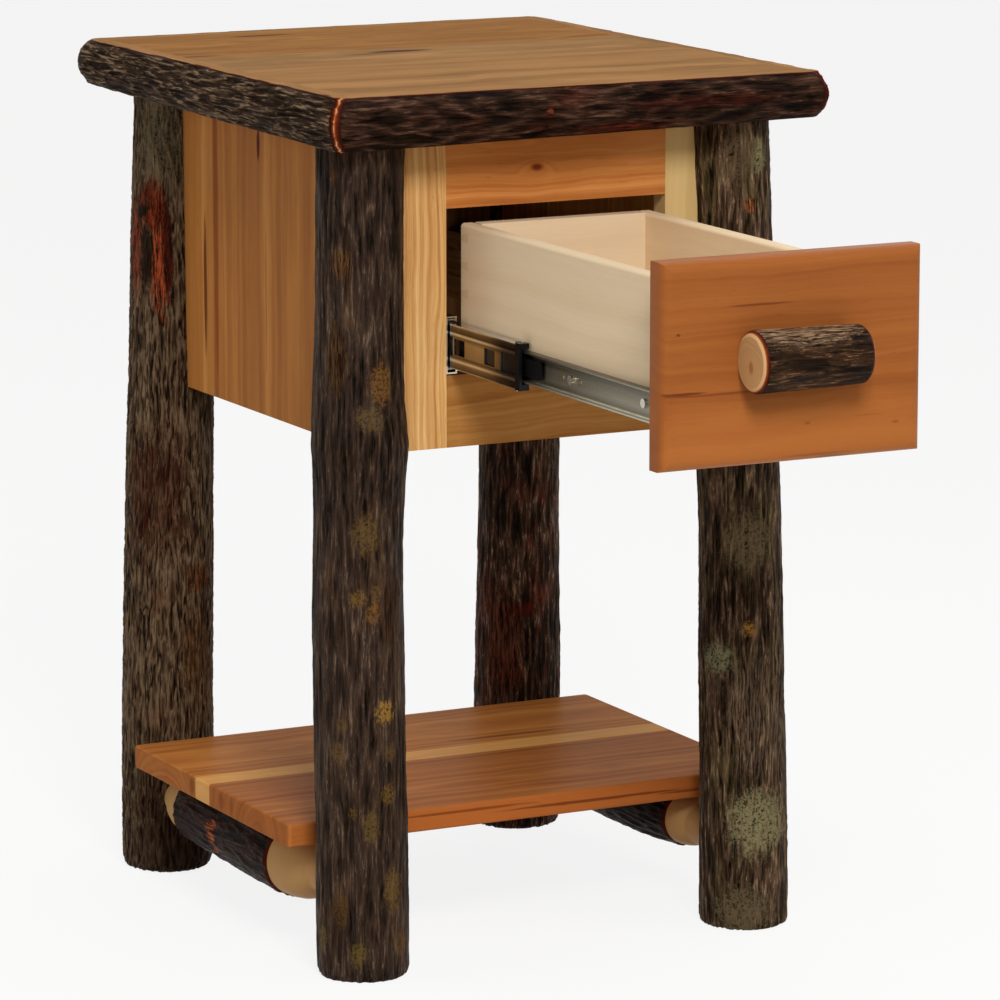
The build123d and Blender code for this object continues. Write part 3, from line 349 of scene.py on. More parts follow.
def raise_relief(piece, kind, axis, size, longer, strength, seed, **settings):
    """Displace a log by a solid texture of that feature size, drawn out along the log."""
    texture = bpy.data.textures.new(piece.name + kind, kind)
    for key, value in {"noise_scale": 1.0, **settings}.items():
        setattr(texture, key, value)
    stretch = Vector((size, size, size)) * MM
    stretch["XYZ".index(axis)] *= longer
    guide = bpy.data.objects.new("guide", None)
    guide.location = Vector((seed * 0.71, seed * 0.37, seed * 0.53))
    guide.scale = stretch
    bpy.context.scene.collection.objects.link(guide)
    push = piece.modifiers.new("relief", "DISPLACE")
    push.texture = texture
    push.texture_coords = "OBJECT"
    push.texture_coords_object = guide
    push.mid_level = 0.5
    push.strength = strength * MM
    bpy.context.view_layer.update()
    bpy.context.view_layer.objects.active = piece
    bpy.ops.object.modifier_apply(modifier="relief")
    bpy.data.objects.remove(guide)
    bpy.data.textures.remove(texture)


MEAN_BARK = 0.6      # the height in the bark, from fissure to crest, that lies at the log's radius


def bark_relief(piece, axis, seed, lumps, ridges, size, longer, keep):
    """Lumps of the whole log, then ridges of that height that run along it and interlace. keep fades
    the bark out where it is cut away, and how high each point lies is stored for the material."""
    raise_relief(piece, "CLOUDS", axis, size=42, longer=2.6, strength=lumps, seed=seed, noise_depth=1)
    smooth = places(piece)
    raise_relief(piece, "MUSGRAVE", axis, size, longer, strength=1.0, seed=seed + 3,
                 musgrave_type="RIDGED_MULTIFRACTAL", dimension_max=0.9, lacunarity=2.1, octaves=3.0,
                 offset=1.0, gain=1.6)
    raise_relief(piece, "CLOUDS", axis, size * 0.35, longer * 1.8, strength=0.7, seed=seed + 7,
                 noise_depth=2)
    moved = places(piece) - smooth
    normals = np.empty(len(moved) * 3)
    put(piece, smooth)
    piece.data.vertex_normals.foreach_get("vector", normals)
    normals = normals.reshape(-1, 3)
    height = (moved * normals).sum(axis=1)
    low, high = np.percentile(height, (2, 98))
    height = np.clip((height - low) / (high - low), 0, 1)
    put(piece, smooth + normals * ((height - MEAN_BARK) * keep * ridges * MM)[:, None])
    mark(piece, "ridge", height)


def saw(piece, point, outward):
    """Saw the piece flat at a plane and close the cut."""
    bpy.ops.object.select_all(action="DESELECT")
    piece.select_set(True)
    bpy.context.view_layer.objects.active = piece
    bpy.ops.object.mode_set(mode="EDIT")
    bpy.ops.mesh.select_all(action="SELECT")
    bpy.ops.mesh.bisect(plane_co=Vector(point) * MM, plane_no=outward, use_fill=True, clear_outer=True)
    bpy.ops.object.mode_set(mode="OBJECT")


def coat(piece, *materials):
    """Give the piece these materials and no others."""
    piece.data.materials.clear()
    for material in materials:
        piece.data.materials.append(material)


def dress(piece, body, replaced, materials, choose=None):
    """Give the piece its materials by face, and its place in the part."""
    coat(piece, *materials)
    if choose:
        for face in piece.data.polygons:
            face.material_index = choose(face.center / MM, face.normal)
        count = {}
        for face in piece.data.polygons:
            for key in face.edge_keys:
                count.setdefault(key, set()).add(face.material_index)
        for edge in piece.data.edges:
            edge.use_edge_sharp = len(count.get(edge.key, ())) > 1
    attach(piece, body)
    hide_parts(replaced)


# --- legs -----------------------------------------------------------------------------------
# each leg: y, then (z, x, radius) up the log
legs = {
    "front_left": (-LEG_Y, [
        (0, -169.2, 33.0), (1.5, -169.2, 35.2), (6, -169.2, 36.6), (60, -169.8, 36.8), (180, -171, 36.4),
        (290, -172.5, 36.2), (350, -172.2, 35.4), (395, -171.2, 36.2), (428, -170.2, 38.2),
        (462, -171, 36.2), (520, -170.5, 35.0), (687, -168.5, 34.5)]),
    "front_right": (-LEG_Y, [
        (0, 178.5, 32.5), (1.5, 178.5, 34.8), (6, 178.5, 36.2), (120, 176.8, 35.4), (350, 171.5, 33.7),
        (520, 163.5, 33.6), (687, 155.5, 34.0)]),
    "back_left": (LEG_Y, [
        (0, -169.5, 33.5), (2, -169.5, 36.4), (8, -169.5, 38.4), (140, -168, 38.6), (350, -163, 37),
        (520, -159, 35.0), (687, -155, 33)]),
    "back_right": (LEG_Y, [
        (0, 166.5, 34.5), (2, 166.5, 37.0), (7, 166.5, 38.4), (160, 168.5, 37.2), (350, 170, 35),
        (687, 172.5, 31.5)]),
}
# lichen, scars, painted highlights and painted shade: place, half size along X, Y and Z in mm,
# tone, and how much they cover

# nearly black and matt, with small rusty lichen
charcoal = hickory_bark(
    "lacquered_hickory_bark_charcoal", "Z", ["0C0906", "2F231D", "413228", "786351", "5F4328"],
    net=(7.0, 70.0, -0.2),
    lichen=[
        ((-202, -213, 643), (3.84, 5.76, 5.98), "5A3B1F", 0.75),
        ((-169, -231, 480), (8.96, 10.1, 16.5), "795226", 0.75),
        ((-178, -230, 454), (10.9, 10.1, 10.5), "624E2F", 0.68),
        ((-181, -229, 362), (10.2, 10.1, 15), "664E28", 0.68),
        ((-188, -226, 311), (5.76, 8.64, 6.73), "755526", 0.68),
        ((-174, -230, 313), (3.84, 8.64, 8.98), "6A4E28", 0.6),
        ((-176, -230, 300), (5.76, 8.64, 8.23), "7C5326", 0.68),
        ((-167, -231, 220), (7.68, 10.1, 8.23), "936D2F", 1.0),
        ((-198, -219, 210), (3.84, 6.48, 6.73), "5A4123", 0.6),
        ((-200, -217, 186), (5.12, 6.48, 8.98), "624726", 0.68),
        ((-162, -230, 186), (5.12, 6.48, 7.48), "624726", 0.68),
        ((-164, -230, 153), (5.76, 8.64, 8.23), "755726", 0.68),
        ((-179, -230, 128), (7.04, 8.64, 12), "6A5228", 0.68),
        ((-192, -225, 140), (3.2, 6.48, 5.98), "664A24", 0.6),
        ((-160, -229, 75), (8.32, 8.64, 16.5), "6E5324", 0.68),
        ((-199, -217, 60), (5.12, 6.48, 15), "5A3D1F", 0.68),
        ((-189, -226, 24), (5.76, 8.64, 8.98), "6A5526", 0.68),
        ((-205, -197, 35), (5.76, 6.48, 10.5), "66522A", 0.68),
        ((-152, -227, 28), (5.76, 7.2, 8.98), "6A461F", 0.6)],
    scars_and_painted_light=[
        ((-198, -219, 575), (9, 9, 12), "664626", 0.8), ((-201, -215, 500), (8, 9, 26), "5A4024", 0.8),
        ((-158, -229, 300), (10, 9, 26), "4A321C", 0.6)])
# greyer and paler, with big soft olive lichen
greyed = hickory_bark(
    "lacquered_hickory_bark_weathered", "Z", ["0D0806", "37281C", "5A4536", "A88B68", "776B3F"],
    scars_and_painted_light=[
        ((160, -230, 600), (5, 9, 6), "A4603A", 1.0), ((170, -229, 180), (30, 16, 46), "86705A", 0.5)],
    lichen=[
        ((171, -229, 91), (26, 16, 25), "807856", 1.0), ((159, -224, 17), (26, 18, 20), "64563E", 0.9),
        ((161, -229, 327), (21, 16, 20), "66583E", 0.9), ((141, -212, 227), (13, 14, 13), "7C785A", 1.0),
        ((163, -229, 253), (6, 10, 6), "966A30", 1.0), ((168, -229, 640), (8, 12, 13), "76704E", 1.0),
        ((150, -228, 640), (16, 12, 24), "5A4A34", 0.7)])
# rough, and scraped open to the red inner bark below the top, with painted shade over its foot
scraped = hickory_bark(
    "lacquered_hickory_bark_scraped", "Z", ["140D08", "453425", "695640", "7F6953", "683A25"],
    net=(5.0, 40.0, -0.4),
    lichen=[
        ((-181, 167, 640), (40, 24, 44), "6E664E", 0.5)],
    scars_and_painted_light=[
        ((-181, 167, 528), (8, 14, 46), "A04A2A", 1.0), ((-195, 190, 540), (6, 12, 40), "84402A", 1.0),
        ((-187, 173, 574), (12, 14, 22), "7E2E12", 0.9), ((-190, 178, 530), (5, 8, 26), "2C2218", 1.0),
        ((-176, 163, 540), (4, 9, 46), "3A120C", 0.9), ((-192, 182, 568), (5, 7, 6), "1E1A12", 1.0),
        ((-191, 178, 543), (5, 7, 6), "2A2A1C", 1.0), ((-186, 172, 330), (26, 26, 54), "4A2014", 0.6),
        ((-155, 159, 255), (12, 12, 12), "6E4022", 0.8), ((-155, 159, 190), (16, 12, 36), "66482A", 0.7),
        # the last patch is painted shade over the foot
        ((-169, 160, 20), (60, 40, 46), "20160E", 0.7)])
# black with pinkish crests and a rusty tinge
dark = hickory_bark(
    "lacquered_hickory_bark_dark", "Z", ["0D0608", "312319", "543E2E", "B69883", "96301F"],
    net=(6.0, 50.0, -0.2),
    scars_and_painted_light=[
        ((142, 172, 168), (16, 16, 44), "7A4430", 0.8), ((156, 162, 197), (14, 14, 6), "6A2218", 0.7)])
# bark, lumps, ridge height and ridge width in mm, and how many times as long as wide the ridges are
leg_looks = {
    "front_left": (charcoal, 2.0, 1.0, 5.5, 9.0), "front_right": (greyed, 2.0, 1.3, 5.0, 8.0),
    "back_left": (scraped, 2.2, 1.5, 3.2, 6.0), "back_right": (dark, 2.0, 1.3, 5.5, 8.0),
}
for number, (corner, (y, stations)) in enumerate(legs.items()):
    rings = [((x, y, z), radius) for z, x, radius in stations]
    leg = log("bark_leg_" + corner, rings, "Z", around=200, step=1.9)
    bark, *relief = leg_looks[corner]
    whole = np.ones(len(leg.data.vertices))
    bark_relief(leg, "Z", 11.0 * number + 2, *relief, whole)
    mark(leg, "cut", whole * 0)
    dress(leg, "table", "leg_" + corner, [bark])

# --- tabletop and its bark edging -----------------------------------------------------------
TOP_GLOSS = 0.002    # next to none, because the flat top would mirror the pale room and hide its wood
top_tones = ["724F2A", "8A6236", "9D7142", "AA7D4C"]
trim_top = {}
for number, axis in enumerate("XY"):
    trim_top[axis] = sawn_wood("lacquered_hickory_edge_" + axis, axis, top_tones, heart=(20, -60), ring=4.0,
                               gloss=TOP_GLOSS, streaks=0.2, seed=3.3 + number)
# height of the edging at each corner, and how far its side bulges
corner_shape = {"front_left": (42.0, 10.0), "front_right": (36.5, 7.0), "back_left": (38.0, 8.0),
                "back_right": (38.0, 8.0)}
# black fissures between long pale ridges
rough = hickory_bark(
    "lacquered_hickory_bark_ridged", "Y", ["050302", "24170E", "3C2A1B", "8A7258", "4A3220"], gloss=0.01,
    net=(4.2, 30.0, 0.45), drawn=1.5)
# dark red-brown, rubbed nearly smooth, with red cuts
smoother = hickory_bark(
    "lacquered_hickory_bark_rubbed", "X", ["060303", "21150E", "3E271D", "6A4E3C", "521C10"], gloss=0.03,
    net=(7.0, 34.0, -0.25), drawn=1.3,
    scars_and_painted_light=[
        ((-35, -257, 688), (3.5, 9, 3.5), "94482A", 1.0), ((30, -256, 672), (40, 9, 4), "5A1E10", 0.8),
        ((110, -256, 690), (60, 9, 5), "4A1A10", 0.6)])
strips = {
    # name: (axis, side, its two corners, inner plane, half length, relief as for the legs, bark)
    "front": ("X", -1, "front_left", "front_right", BOARDS_Y, BOARDS_X, (2.4, 1.4, 8.0, 4.0), smoother),
    "back": ("X", 1, "back_left", "back_right", BOARDS_Y, BOARDS_X, (2.0, 1.8, 6.0, 5.0), smoother),
    "left": ("Y", -1, "front_left", "back_left", BOARDS_X, BOARDS_Y, (1.8, 2.4, 4.0, 9.0), rough),
    "right": ("Y", 1, "front_right", "back_right", BOARDS_X, BOARDS_Y, (1.8, 2.4, 4.0, 9.0), rough),
}
OVERRUN = 30.0       # how far a strip's log passes the mitre at which it is sawn off
MITRE_SOFT = 7.0     # length over which a strip's bark is sanded down to its mitre
MITRE_DEEP = 4.2     # and how deep it is there
CUT_REDDISH = 1.5    # the front right mitre is worn no deeper than the red inner bark
WORN_EDGE = 1.6      # how far below the top the sanding has reached its bark
UNDERCUT = 0.2       # what is sawn off its underside


def strip_point(axis, along, out, z):
    """A point of an edging strip from its place along, outwards and up."""
    return (along, out, z) if axis == "X" else (out, along, z)


for number, (side, spec) in enumerate(strips.items()):
    axis, sign, low_corner, high_corner, inner, half, relief, bark = spec
    rings = []
    for end, corner in ((-1, low_corner), (1, high_corner)):
        height, bulge = corner_shape[corner]
        radius = ((height / 2) ** 2 + bulge ** 2) / (2 * bulge)
        out = sign * (inner + TRIM_FLAT + bulge - radius)
        rings.append((strip_point(axis, end * (half + OVERRUN), out, TOP_Z - height / 2), radius))
    strip = log("bark_edge_" + side, rings, axis, around=224, step=1.3)
    co = places(strip) / MM
    lengthwise, outwards = (co[:, 0], sign * co[:, 1]) if axis == "X" else (co[:, 1], sign * co[:, 0])
    mitre_gap = ((half - np.abs(lengthwise)) + (outwards - inner)) / math.sqrt(2)
    fade = np.clip(mitre_gap / MITRE_SOFT, 0, 1)
    bark_relief(strip, axis, 40 + 9.0 * number, *relief, fade ** 0.7)
    sunk = MITRE_DEEP * (1 - np.sqrt(1 - (1 - fade) ** 2))
    share = (lengthwise + half + OVERRUN) / (2 * (half + OVERRUN))
    first, last = np.array(rings[0][0]), np.array(rings[1][0])
    axis_line = first + share[:, None] * (last - first)
    away = co - axis_line
    away /= np.linalg.norm(away, axis=1)[:, None]
    put(strip, places(strip) - away * (sunk * MM)[:, None])
    worn = np.clip((places(strip)[:, 2] / MM - TOP_Z + WORN_EDGE) / WORN_EDGE, 0, 1)
    bared = np.maximum(sunk * 1.2, worn * 1.3)
    right_corner = lengthwise > 0 if side == "front" else (lengthwise < 0) & (side == "right")
    bared[right_corner] = np.minimum(bared[right_corner], CUT_REDDISH)
    mark(strip, "cut", bared)
    saw(strip, (0, 0, TOP_Z), (0, 0, 1))
    saw(strip, strip_point(axis, 0, sign * inner, 0), strip_point(axis, 0, -sign, 0))
    low, high = corner_shape[low_corner][0], corner_shape[high_corner][0]
    tilt = (low - high) / (2 * half)
    saw(strip, (0, 0, TOP_Z - (low + high) / 2 + UNDERCUT), strip_point(axis, tilt, 0, -1))
    for end in (-1, 1):
        saw(strip, strip_point(axis, end * half, sign * inner, 0), strip_point(axis, end, -sign, 0))

    def flat_or_bark(centre, normal, axis=axis):
        """Sawn faces are wood, and the rest is bark."""
        return 1 if normal.z > 0.999 and centre.z > TOP_Z - 0.1 else 0

    dress(strip, "table", "trim_" + side, [bark, trim_top[axis]], flat_or_bark)

# --- shelf stretchers -----------------------------------------------------------------------
TENON_R, TENON_END = 17.0, 186.0
BACK_RING, BACK_OVAL = 116.0, 48.0   # y at which the bark ends at the back, and the shoulder's length there
PEELED = 2.0         # thickness of the bark that is peeled off the shoulders
BARK_EDGE = 1.6      # length over which the bark starts
EDGE_DROP = 0.4      # and how much it is rounded off there
TURNS = (0.0, 0.2, 0.4, 0.6, 0.8, 1.0)   # shares of a shoulder's quarter oval
# the darkest bark, and pale yellow wood where it is peeled
stretcher_bark = hickory_bark(
    "lacquered_hickory_bark_stretcher", "Y", ["050303", "1B0F0A", "2C1C13", "5E432F", "45170D"],
    wood="B88E5C", net=(6.0, 40.0, -0.2), gloss=0.02, drawn=1.6,
    scars_and_painted_light=[
        ((-203, 27, 62), (7, 13, 19), "C86A34", 1.0), ((-203, 19, 64), (8, 10, 15), "241510", 1.0)])
stretchers = {
    # (x, z of axis, front ring y, length of the front shoulder's oval, front r, middle r, back r)
    "left": (-170, 66.5, -78.0, 60, 32.5, 31.3, 29.5),
    "right": (170, 70.5, -115.0, 38, 24.5, 28.5, 26.0),
}
for number, (side, (x, z, front, oval, front_r, middle_r, back_r)) in enumerate(stretchers.items()):
    rings = [((x, -TENON_END, z), TENON_R)]
    for turn in reversed(TURNS):
        angle = turn * math.acos(TENON_R / (front_r - PEELED))
        rings.append(((x, front - oval * math.sin(angle), z), (front_r - PEELED) * math.cos(angle)))
    rings.append(((x, front + BARK_EDGE, z), front_r - EDGE_DROP))
    for share in (0.12, 0.3, 0.5, 0.7, 0.88):
        bend = 4 * share * (1 - share) * (middle_r - (front_r + back_r) / 2)
        place = front + share * (BACK_RING - front)
        rings.append(((x, place, z), front_r + share * (back_r - front_r) + bend))
    rings.append(((x, BACK_RING - BARK_EDGE, z), back_r - EDGE_DROP))
    for turn in TURNS:
        angle = turn * math.acos(TENON_R / (back_r - PEELED))
        rings.append(((x, BACK_RING + BACK_OVAL * math.sin(angle), z), (back_r - PEELED) * math.cos(angle)))
    rings.append(((x, TENON_END, z), TENON_R))
    beam = log("bark_stretcher_" + side, rings, "Y", around=176, step=1.7)
    y = places(beam)[:, 1] / MM
    barked = np.clip((y - front) / BARK_EDGE, 0, 1) * np.clip((BACK_RING - y) / BARK_EDGE, 0, 1)
    bark_relief(beam, "Y", 80 + 7.0 * number, lumps=1.6, ridges=1.6, size=6.0, longer=6.0, keep=barked)
    past = np.clip(np.maximum(front - y, y - BACK_RING), 0, 4)
    mark(beam, "cut", np.where(barked < 1, 1.0 + past * 1.3, 0))
    dress(beam, "table", "stretcher_" + side, [stretcher_bark])

# --- drawer handle --------------------------------------------------------------------------
# fine brown bark with a painted highlight along its top
handle_bark = hickory_bark(
    "lacquered_hickory_bark_handle", "X", ["0C0604", "27190E", "3F2819", "956E4E", "4A3720"],
    net=(5.0, 40.0, -0.3), gloss=0.06,
    scars_and_painted_light=[
        # a painted highlight along the top of the handle
        ((-8, -602, 566), (46, 24, 12), "9E7E60", 1.0)])
# pale sanded ends with a rusty pith
handle_end = sawn_wood(
    "sanded_hickory_end_grain", "X", ["A07A4C", "B48A5C", "C09868"], heart=(-596.2, 538.2), ring=2.6,
    seed=2.2, end_tone="B98E60", flecks=0.1, end_share=0.4, contrast=0.7,
    marks=(((-47.5, -596.2, 538.2), (4, 3.0, 4.6), "8A3E10", 1.0),))
HANDLE_HALF = 47.5   # half its length
HANDLE_RING = 4.2    # length of the peeled ring at each end
LEFT_R, RIGHT_R = 23.4, 21.9           # radius of its left and right half
LEFT_DISC, RIGHT_DISC = 18.8, 17.4     # and of the flat disc at each end
# the eased edge: mm in from the end, and how much smaller the radius is there
EASED = ((0.5, 3.2), (1.4, 1.9), (2.6, 0.8), (HANDLE_RING, 0.1))
rings = [((-HANDLE_HALF, HANDLE_Y, HANDLE_Z), LEFT_DISC)]
rings += [((inset - HANDLE_HALF, HANDLE_Y, HANDLE_Z), LEFT_R - less) for inset, less in EASED]
rings += [((HANDLE_HALF - inset, HANDLE_Y, HANDLE_Z), RIGHT_R - less) for inset, less in reversed(EASED)]
rings.append(((HANDLE_HALF, HANDLE_Y, HANDLE_Z), RIGHT_DISC))
handle = log("bark_handle", rings, "X", around=168, step=0.9)
inset = HANDLE_HALF - np.abs(places(handle)[:, 0]) / MM
bark_relief(handle, "X", seed=120, lumps=1.0, ridges=0.9, size=4.5, longer=9.0,
            keep=np.clip((inset - 1.0) / HANDLE_RING, 0, 1))
mark(handle, "cut", np.clip((HANDLE_RING - inset) * 0.75, 0, 4))
saw(handle, (0, DRAWER_FACE_Y, 0), (0, 1, 0))


def disc_or_bark(centre, normal):
    """The two discs are end grain."""
    return 1 if abs(centre.x) > HANDLE_HALF - 0.2 else 0


dress(handle, "drawer", "drawer_handle", [handle_bark, handle_end], disc_or_bark)

# --- sawn boards, left as the solids give them ----------------------------------------------
SHELF_GLOSS = 0.012  # low, for the same reason as the top's
# warm satin wood: a browner top, redder fronts and shelf, pale stiles and strip
boards = {
    "top_board_front": ("X", dict(
        gloss=TOP_GLOSS, tones=top_tones, heart=(-300, 60), ring=7.0, streaks=0.25, seed=1.3, contrast=0.8,
        marks=(((-63, -139, 707), (40, 3, 6), "6A4424", 0.5),
               ((150, -171, 707), (34, 2.5, 6), "6A4424", 0.5)))),
    "top_board_middle": ("X", dict(
        gloss=TOP_GLOSS, tones=["72512B", "896339", "9C7243", "A87E51"], heart=(40, -70), ring=6.0,
        streaks=0.2, seed=4.1,
        marks=(((-22, 40, 707), (27, 6, 6), "3E2010", 1.0), ((-54, 30, 707), (20, 3, 6), "5A3A20", 0.8)))),
    "top_board_back": ("X", dict(
        gloss=TOP_GLOSS, tones=["6C451C", "835524", "96652E", "A57037"], heart=(160, 40), ring=4.0,
        streaks=0.9, seed=7.7,
        marks=(((-70, 204, 707), (26, 5, 6), "4E2E18", 0.9), ((-190, 76, 707), (24, 5, 6), "5A3A20", 0.8),
               ((155, -58, 707), (46, 4, 6), "5A3A20", 0.7)))),
    "side_panel_left": ("Z", dict(
        tones=["8B572C", "9E6331", "AE7238", "BD8347"], heart=(-150, 60), ring=22.0, streaks=0.2, seed=2.9,
        gloss=0.02, contrast=0.8,
        staves=((-400, 0.8), (-90, 0.35), (-41, 0.5), (12, 0.3), (48, 0.55), (92, 0.0), (101, 0.85),
                (138, 0.6)),
        marks=(((-162, 11.5, 641), (8, 3.0, 12), "50180C", 1.0),
               ((-162, 119, 515), (8, 3.2, 52), "602C12", 0.9),
               ((-162, 96.5, 570), (8, 4.5, 150), "7E3E1C", 0.75),
               ((-162, -2, 515), (8, 1.2, 60), "6E3E20", 0.5)))),
    "side_panel_right": ("Z", dict(
        tones=["84542A", "965F2F", "A66E36", "B47E44"], heart=(160, 20), ring=8.0, streaks=0.3, seed=5.9,
        gloss=0.04, contrast=0.8,
        staves=((-400, 0.6), (-70, 0.3), (20, 0.6), (90, 0.2)))),
    "stile_left": ("Z", dict(
        tones=["A06A38", "BC8850", "D0A064", "DCB47C"], heart=(130, -190), ring=5.0, seed=6.1,
        gloss=0.08)),
    "stile_right": ("Z", dict(
        tones=["BC9860", "C6A46C", "CEAE76", "D6B882"], heart=(170, -150), ring=9.0, seed=8.3,
        contrast=0.6, flecks=0.0)),
    "rail_top": ("X", dict(
        tones=["9C5A28", "B26C34", "C07C40", "CC8C50"], heart=(-180, 660), ring=6.0,
        knot=((-17.7, -201, 638.2), 3.0), knot_tone="6E2C14", seed=1.9, contrast=0.75)),
    # darker tones than the top rail, partly painted shadow of the open drawer above
    "rail_bottom": ("X", dict(
        tones=["7E4E22", "96622E", "A4723C", "B0824A"], heart=(-170, 480), ring=6.0, seed=3.7,
        contrast=0.8)),
    "drawer_front": ("X", dict(
        tones=["7C421C", "8E4F24", "9C5B2B", "A86935"], heart=(-560, 500), ring=14.0, seed=4.9,
        contrast=0.5,
        marks=(((-97, -577, 519), (24, 6, 1.2), "5A2812", 0.8),
               ((-58, -577, 517), (50, 6, 0.9), "6E3016", 0.6),
               ((-30, -577, 581), (24, 6, 1.0), "64301A", 0.7),
               ((12, -577, 490), (2.6, 6, 1.1), "3E1A0E", 0.9),
               ((87, -577, 485), (3.0, 6, 1.0), "3E1A0E", 0.9),
               ((64, -577, 492), (12, 6, 0.7), "5E2C14", 0.6),
               ((20, -576, 466), (26, 8, 0.9), "5A2812", 0.8),
               ((34, -575, 463), (14, 8, 1.2), "4E2010", 0.9),
               ((-97, -577, 563), (1.6, 6, 1.0), "5E2C14", 0.8),
               ((10, -577, 548), (30, 6, 16), "A4582A", 0.3),
               ((-120, -577, 500), (22, 6, 30), "8A4820", 0.3),
               # the broad pale band across the bottom is painted light, lifting the lower front
               ((0, -577, 478), (150, 8, 30), "B46C34", 0.45)))),
    "shelf_board_front": ("X", dict(
        gloss=SHELF_GLOSS, tones=["874B23", "A05E2D", "B36E37", "C17E43"], heart=(-96, 92), ring=7.0,
        streaks=0.3, seed=6.7, contrast=0.75,
        # the first mark brightens the front face orange: its own tone, partly painted highlight
        marks=(((0, -156, 107), (260, 2, 13), "B0602C", 0.8),
               ((60, -156, 107), (80, 3, 1.3), "6A3216", 0.8),
               ((-60, -156, 111), (60, 3, 1.2), "6A3216", 0.7),
               ((150, -156, 105), (30, 3, 1.2), "6A3216", 0.7),
               ((-217, -120, 108), (5, 9, 9), "C0743C", 0.6), ((-217, -25, 108), (6, 5, 7), "6A3418", 0.7),
               ((-217, -45, 108), (6, 3, 7), "6A3418", 0.6)))),
    "shelf_strip": ("X", dict(
        gloss=SHELF_GLOSS, tones=["CA8848", "DB9C55", "E9AB64", "F4BA72"], heart=(12, 70), ring=5.0,
        seed=7.1, end_tone="C49458", contrast=0.7)),
    "shelf_board_back": ("X", dict(
        gloss=SHELF_GLOSS, tones=["935527", "AE6933", "C27C3D", "D28E4D"], heart=(90, 60), ring=6.0,
        streaks=0.3, seed=9.1, contrast=0.8,
        marks=(((80, 46, 117), (50, 3, 6), "5A2E16", 0.6), ((-217, 34, 108), (6, 5, 7), "4E2614", 0.7)))),
}
for node, (grain, finish) in boards.items():
    coat(nodes[node], sawn_wood("lacquered_hickory_" + node, grain, **finish))

# dull unlacquered wood: darker tones on the back panel and slide blocks are painted shade inside
# the cabinet, and the cleats under the top are paler
shaded = ["4A3018", "5E4024", "6E4C2C", "7C5834"]
bare = ["9C7446", "B48A58", "C49A66", "CEA878"]
plain = {
    "back_panel": ("Z", "back_panel", shaded), "slide_block_left": ("Y", "block_left", shaded),
    "slide_block_right": ("Y", "block_right", shaded), "top_cleat_front": ("X", "cleat_front", bare),
    "top_cleat_back": ("X", "cleat_back", bare),
}
for number, (node, (grain, name, tones)) in enumerate(plain.items()):
    coat(nodes[node], sawn_wood("bare_hickory_" + name, grain, tones, heart=(40, 60), seed=11.0 + number,
                                roughness=0.6, gloss=0.1))

# pale creamy wood with hardly any figure, and a lighter copy of it on the drawer's right side as painted
# light
birch = ["D2B792", "D8BF9C", "DEC7A6", "E4CFB0"]
painted_light_birch = ["E0C49C", "E6CCA6", "ECD4B0", "F2DCBA"]
drawer_box = {
    "drawer_side_left": ("Y", birch), "drawer_side_right": ("Y", painted_light_birch),
    "drawer_box_front": ("X", birch), "drawer_box_back": ("X", birch), "drawer_bottom": ("Y", birch),
}
for number, (node, (grain, tones)) in enumerate(drawer_box.items()):
    wood = sawn_wood("lacquered_birch_" + node, grain, tones, heart=(10, 90), ring=14.0, gloss=0.08,
                     seed=21.0 + number, end_tone="C8A982", flecks=0.05, contrast=0.45)
    coat(nodes[node], wood)


# --- drawer slides and screws ---------------------------------------------------------------
def metal(name, code, roughness, spread, scratch, painted_light_bands=(), painted_shade_from=None):
    """Plated steel: a slightly clouded tone, faint rolling marks along the strip, and bands of painted
    highlight and painted shade by height, for the lips and grooves that its balls run in. The last
    argument is the y from which painted shade darkens its far end."""
    material, tree, shader, millimetres = new_material(name)
    lines = grains(tree, millimetres, (2, 100, 2), 2.0)
    patches = add(tree, "TexNoise", (millimetres, 0.05, 3.0))
    tone = add(tree, "MapRange", (patches, 0.3, 0.7, 0.0, spread))
    plated_and_painted = code
    # bands of painted highlight and painted shade by height
    if painted_light_bands:
        height = add(tree, "SeparateXYZ", [millimetres]).outputs["Z"]
        low, high = painted_light_bands[0][0], painted_light_bands[-1][0]
        height = add(tree, "MapRange", (height, low, high))
        stops = [((level - low) / (high - low), shade) for level, shade in painted_light_bands]
        plated_and_painted = add(tree, "ValToRGB", [height], stops=stops)
    colour = add(tree, "Mix", (tone, plated_and_painted, "6E6A64"), data_type="RGBA")
    # painted shade over the far end of the strip
    if painted_shade_from:
        depth = add(tree, "SeparateXYZ", [millimetres]).outputs["Y"]
        painted_far_shade = add(tree, "MapRange", (depth, painted_shade_from - 2, painted_shade_from + 2, 0.0, 0.92))
        colour = add(tree, "Mix", (painted_far_shade, colour, "1A1815"), data_type="RGBA")
    rough = add(tree, "MapRange", (lines, 0.3, 0.7, roughness - 0.04, roughness + 0.04))
    bump = add(tree, "Bump", {"Strength": scratch, "Distance": 0.02 * MM, "Height": lines})
    feed(tree, shader, {"Base Color": colour, "Roughness": rough, "Normal": bump, "Metallic": 1.0})
    return material


def moulded(name, code, roughness):
    """Moulded black plastic with a fine spark-eroded texture."""
    material, tree, shader, millimetres = new_material(name)
    grit = add(tree, "TexNoise", (millimetres, 2.2, 2.0))
    tone = add(tree, "MapRange", (grit, 0.3, 0.7))
    colour = add(tree, "Mix", (tone, code, "0E0E10"), data_type="RGBA")
    bump = add(tree, "Bump", {"Strength": 0.3, "Distance": 0.05 * MM, "Height": grit})
    feed(tree, shader, {"Base Color": colour, "Normal": bump, "Roughness": roughness,
                        "Specular IOR Level": 0.2})
    return material


# pale satin zinc
zinc_pale = metal("zinc_plated_steel_cabinet_member", "DCD0BC", roughness=0.22, spread=0.25, scratch=0.1)
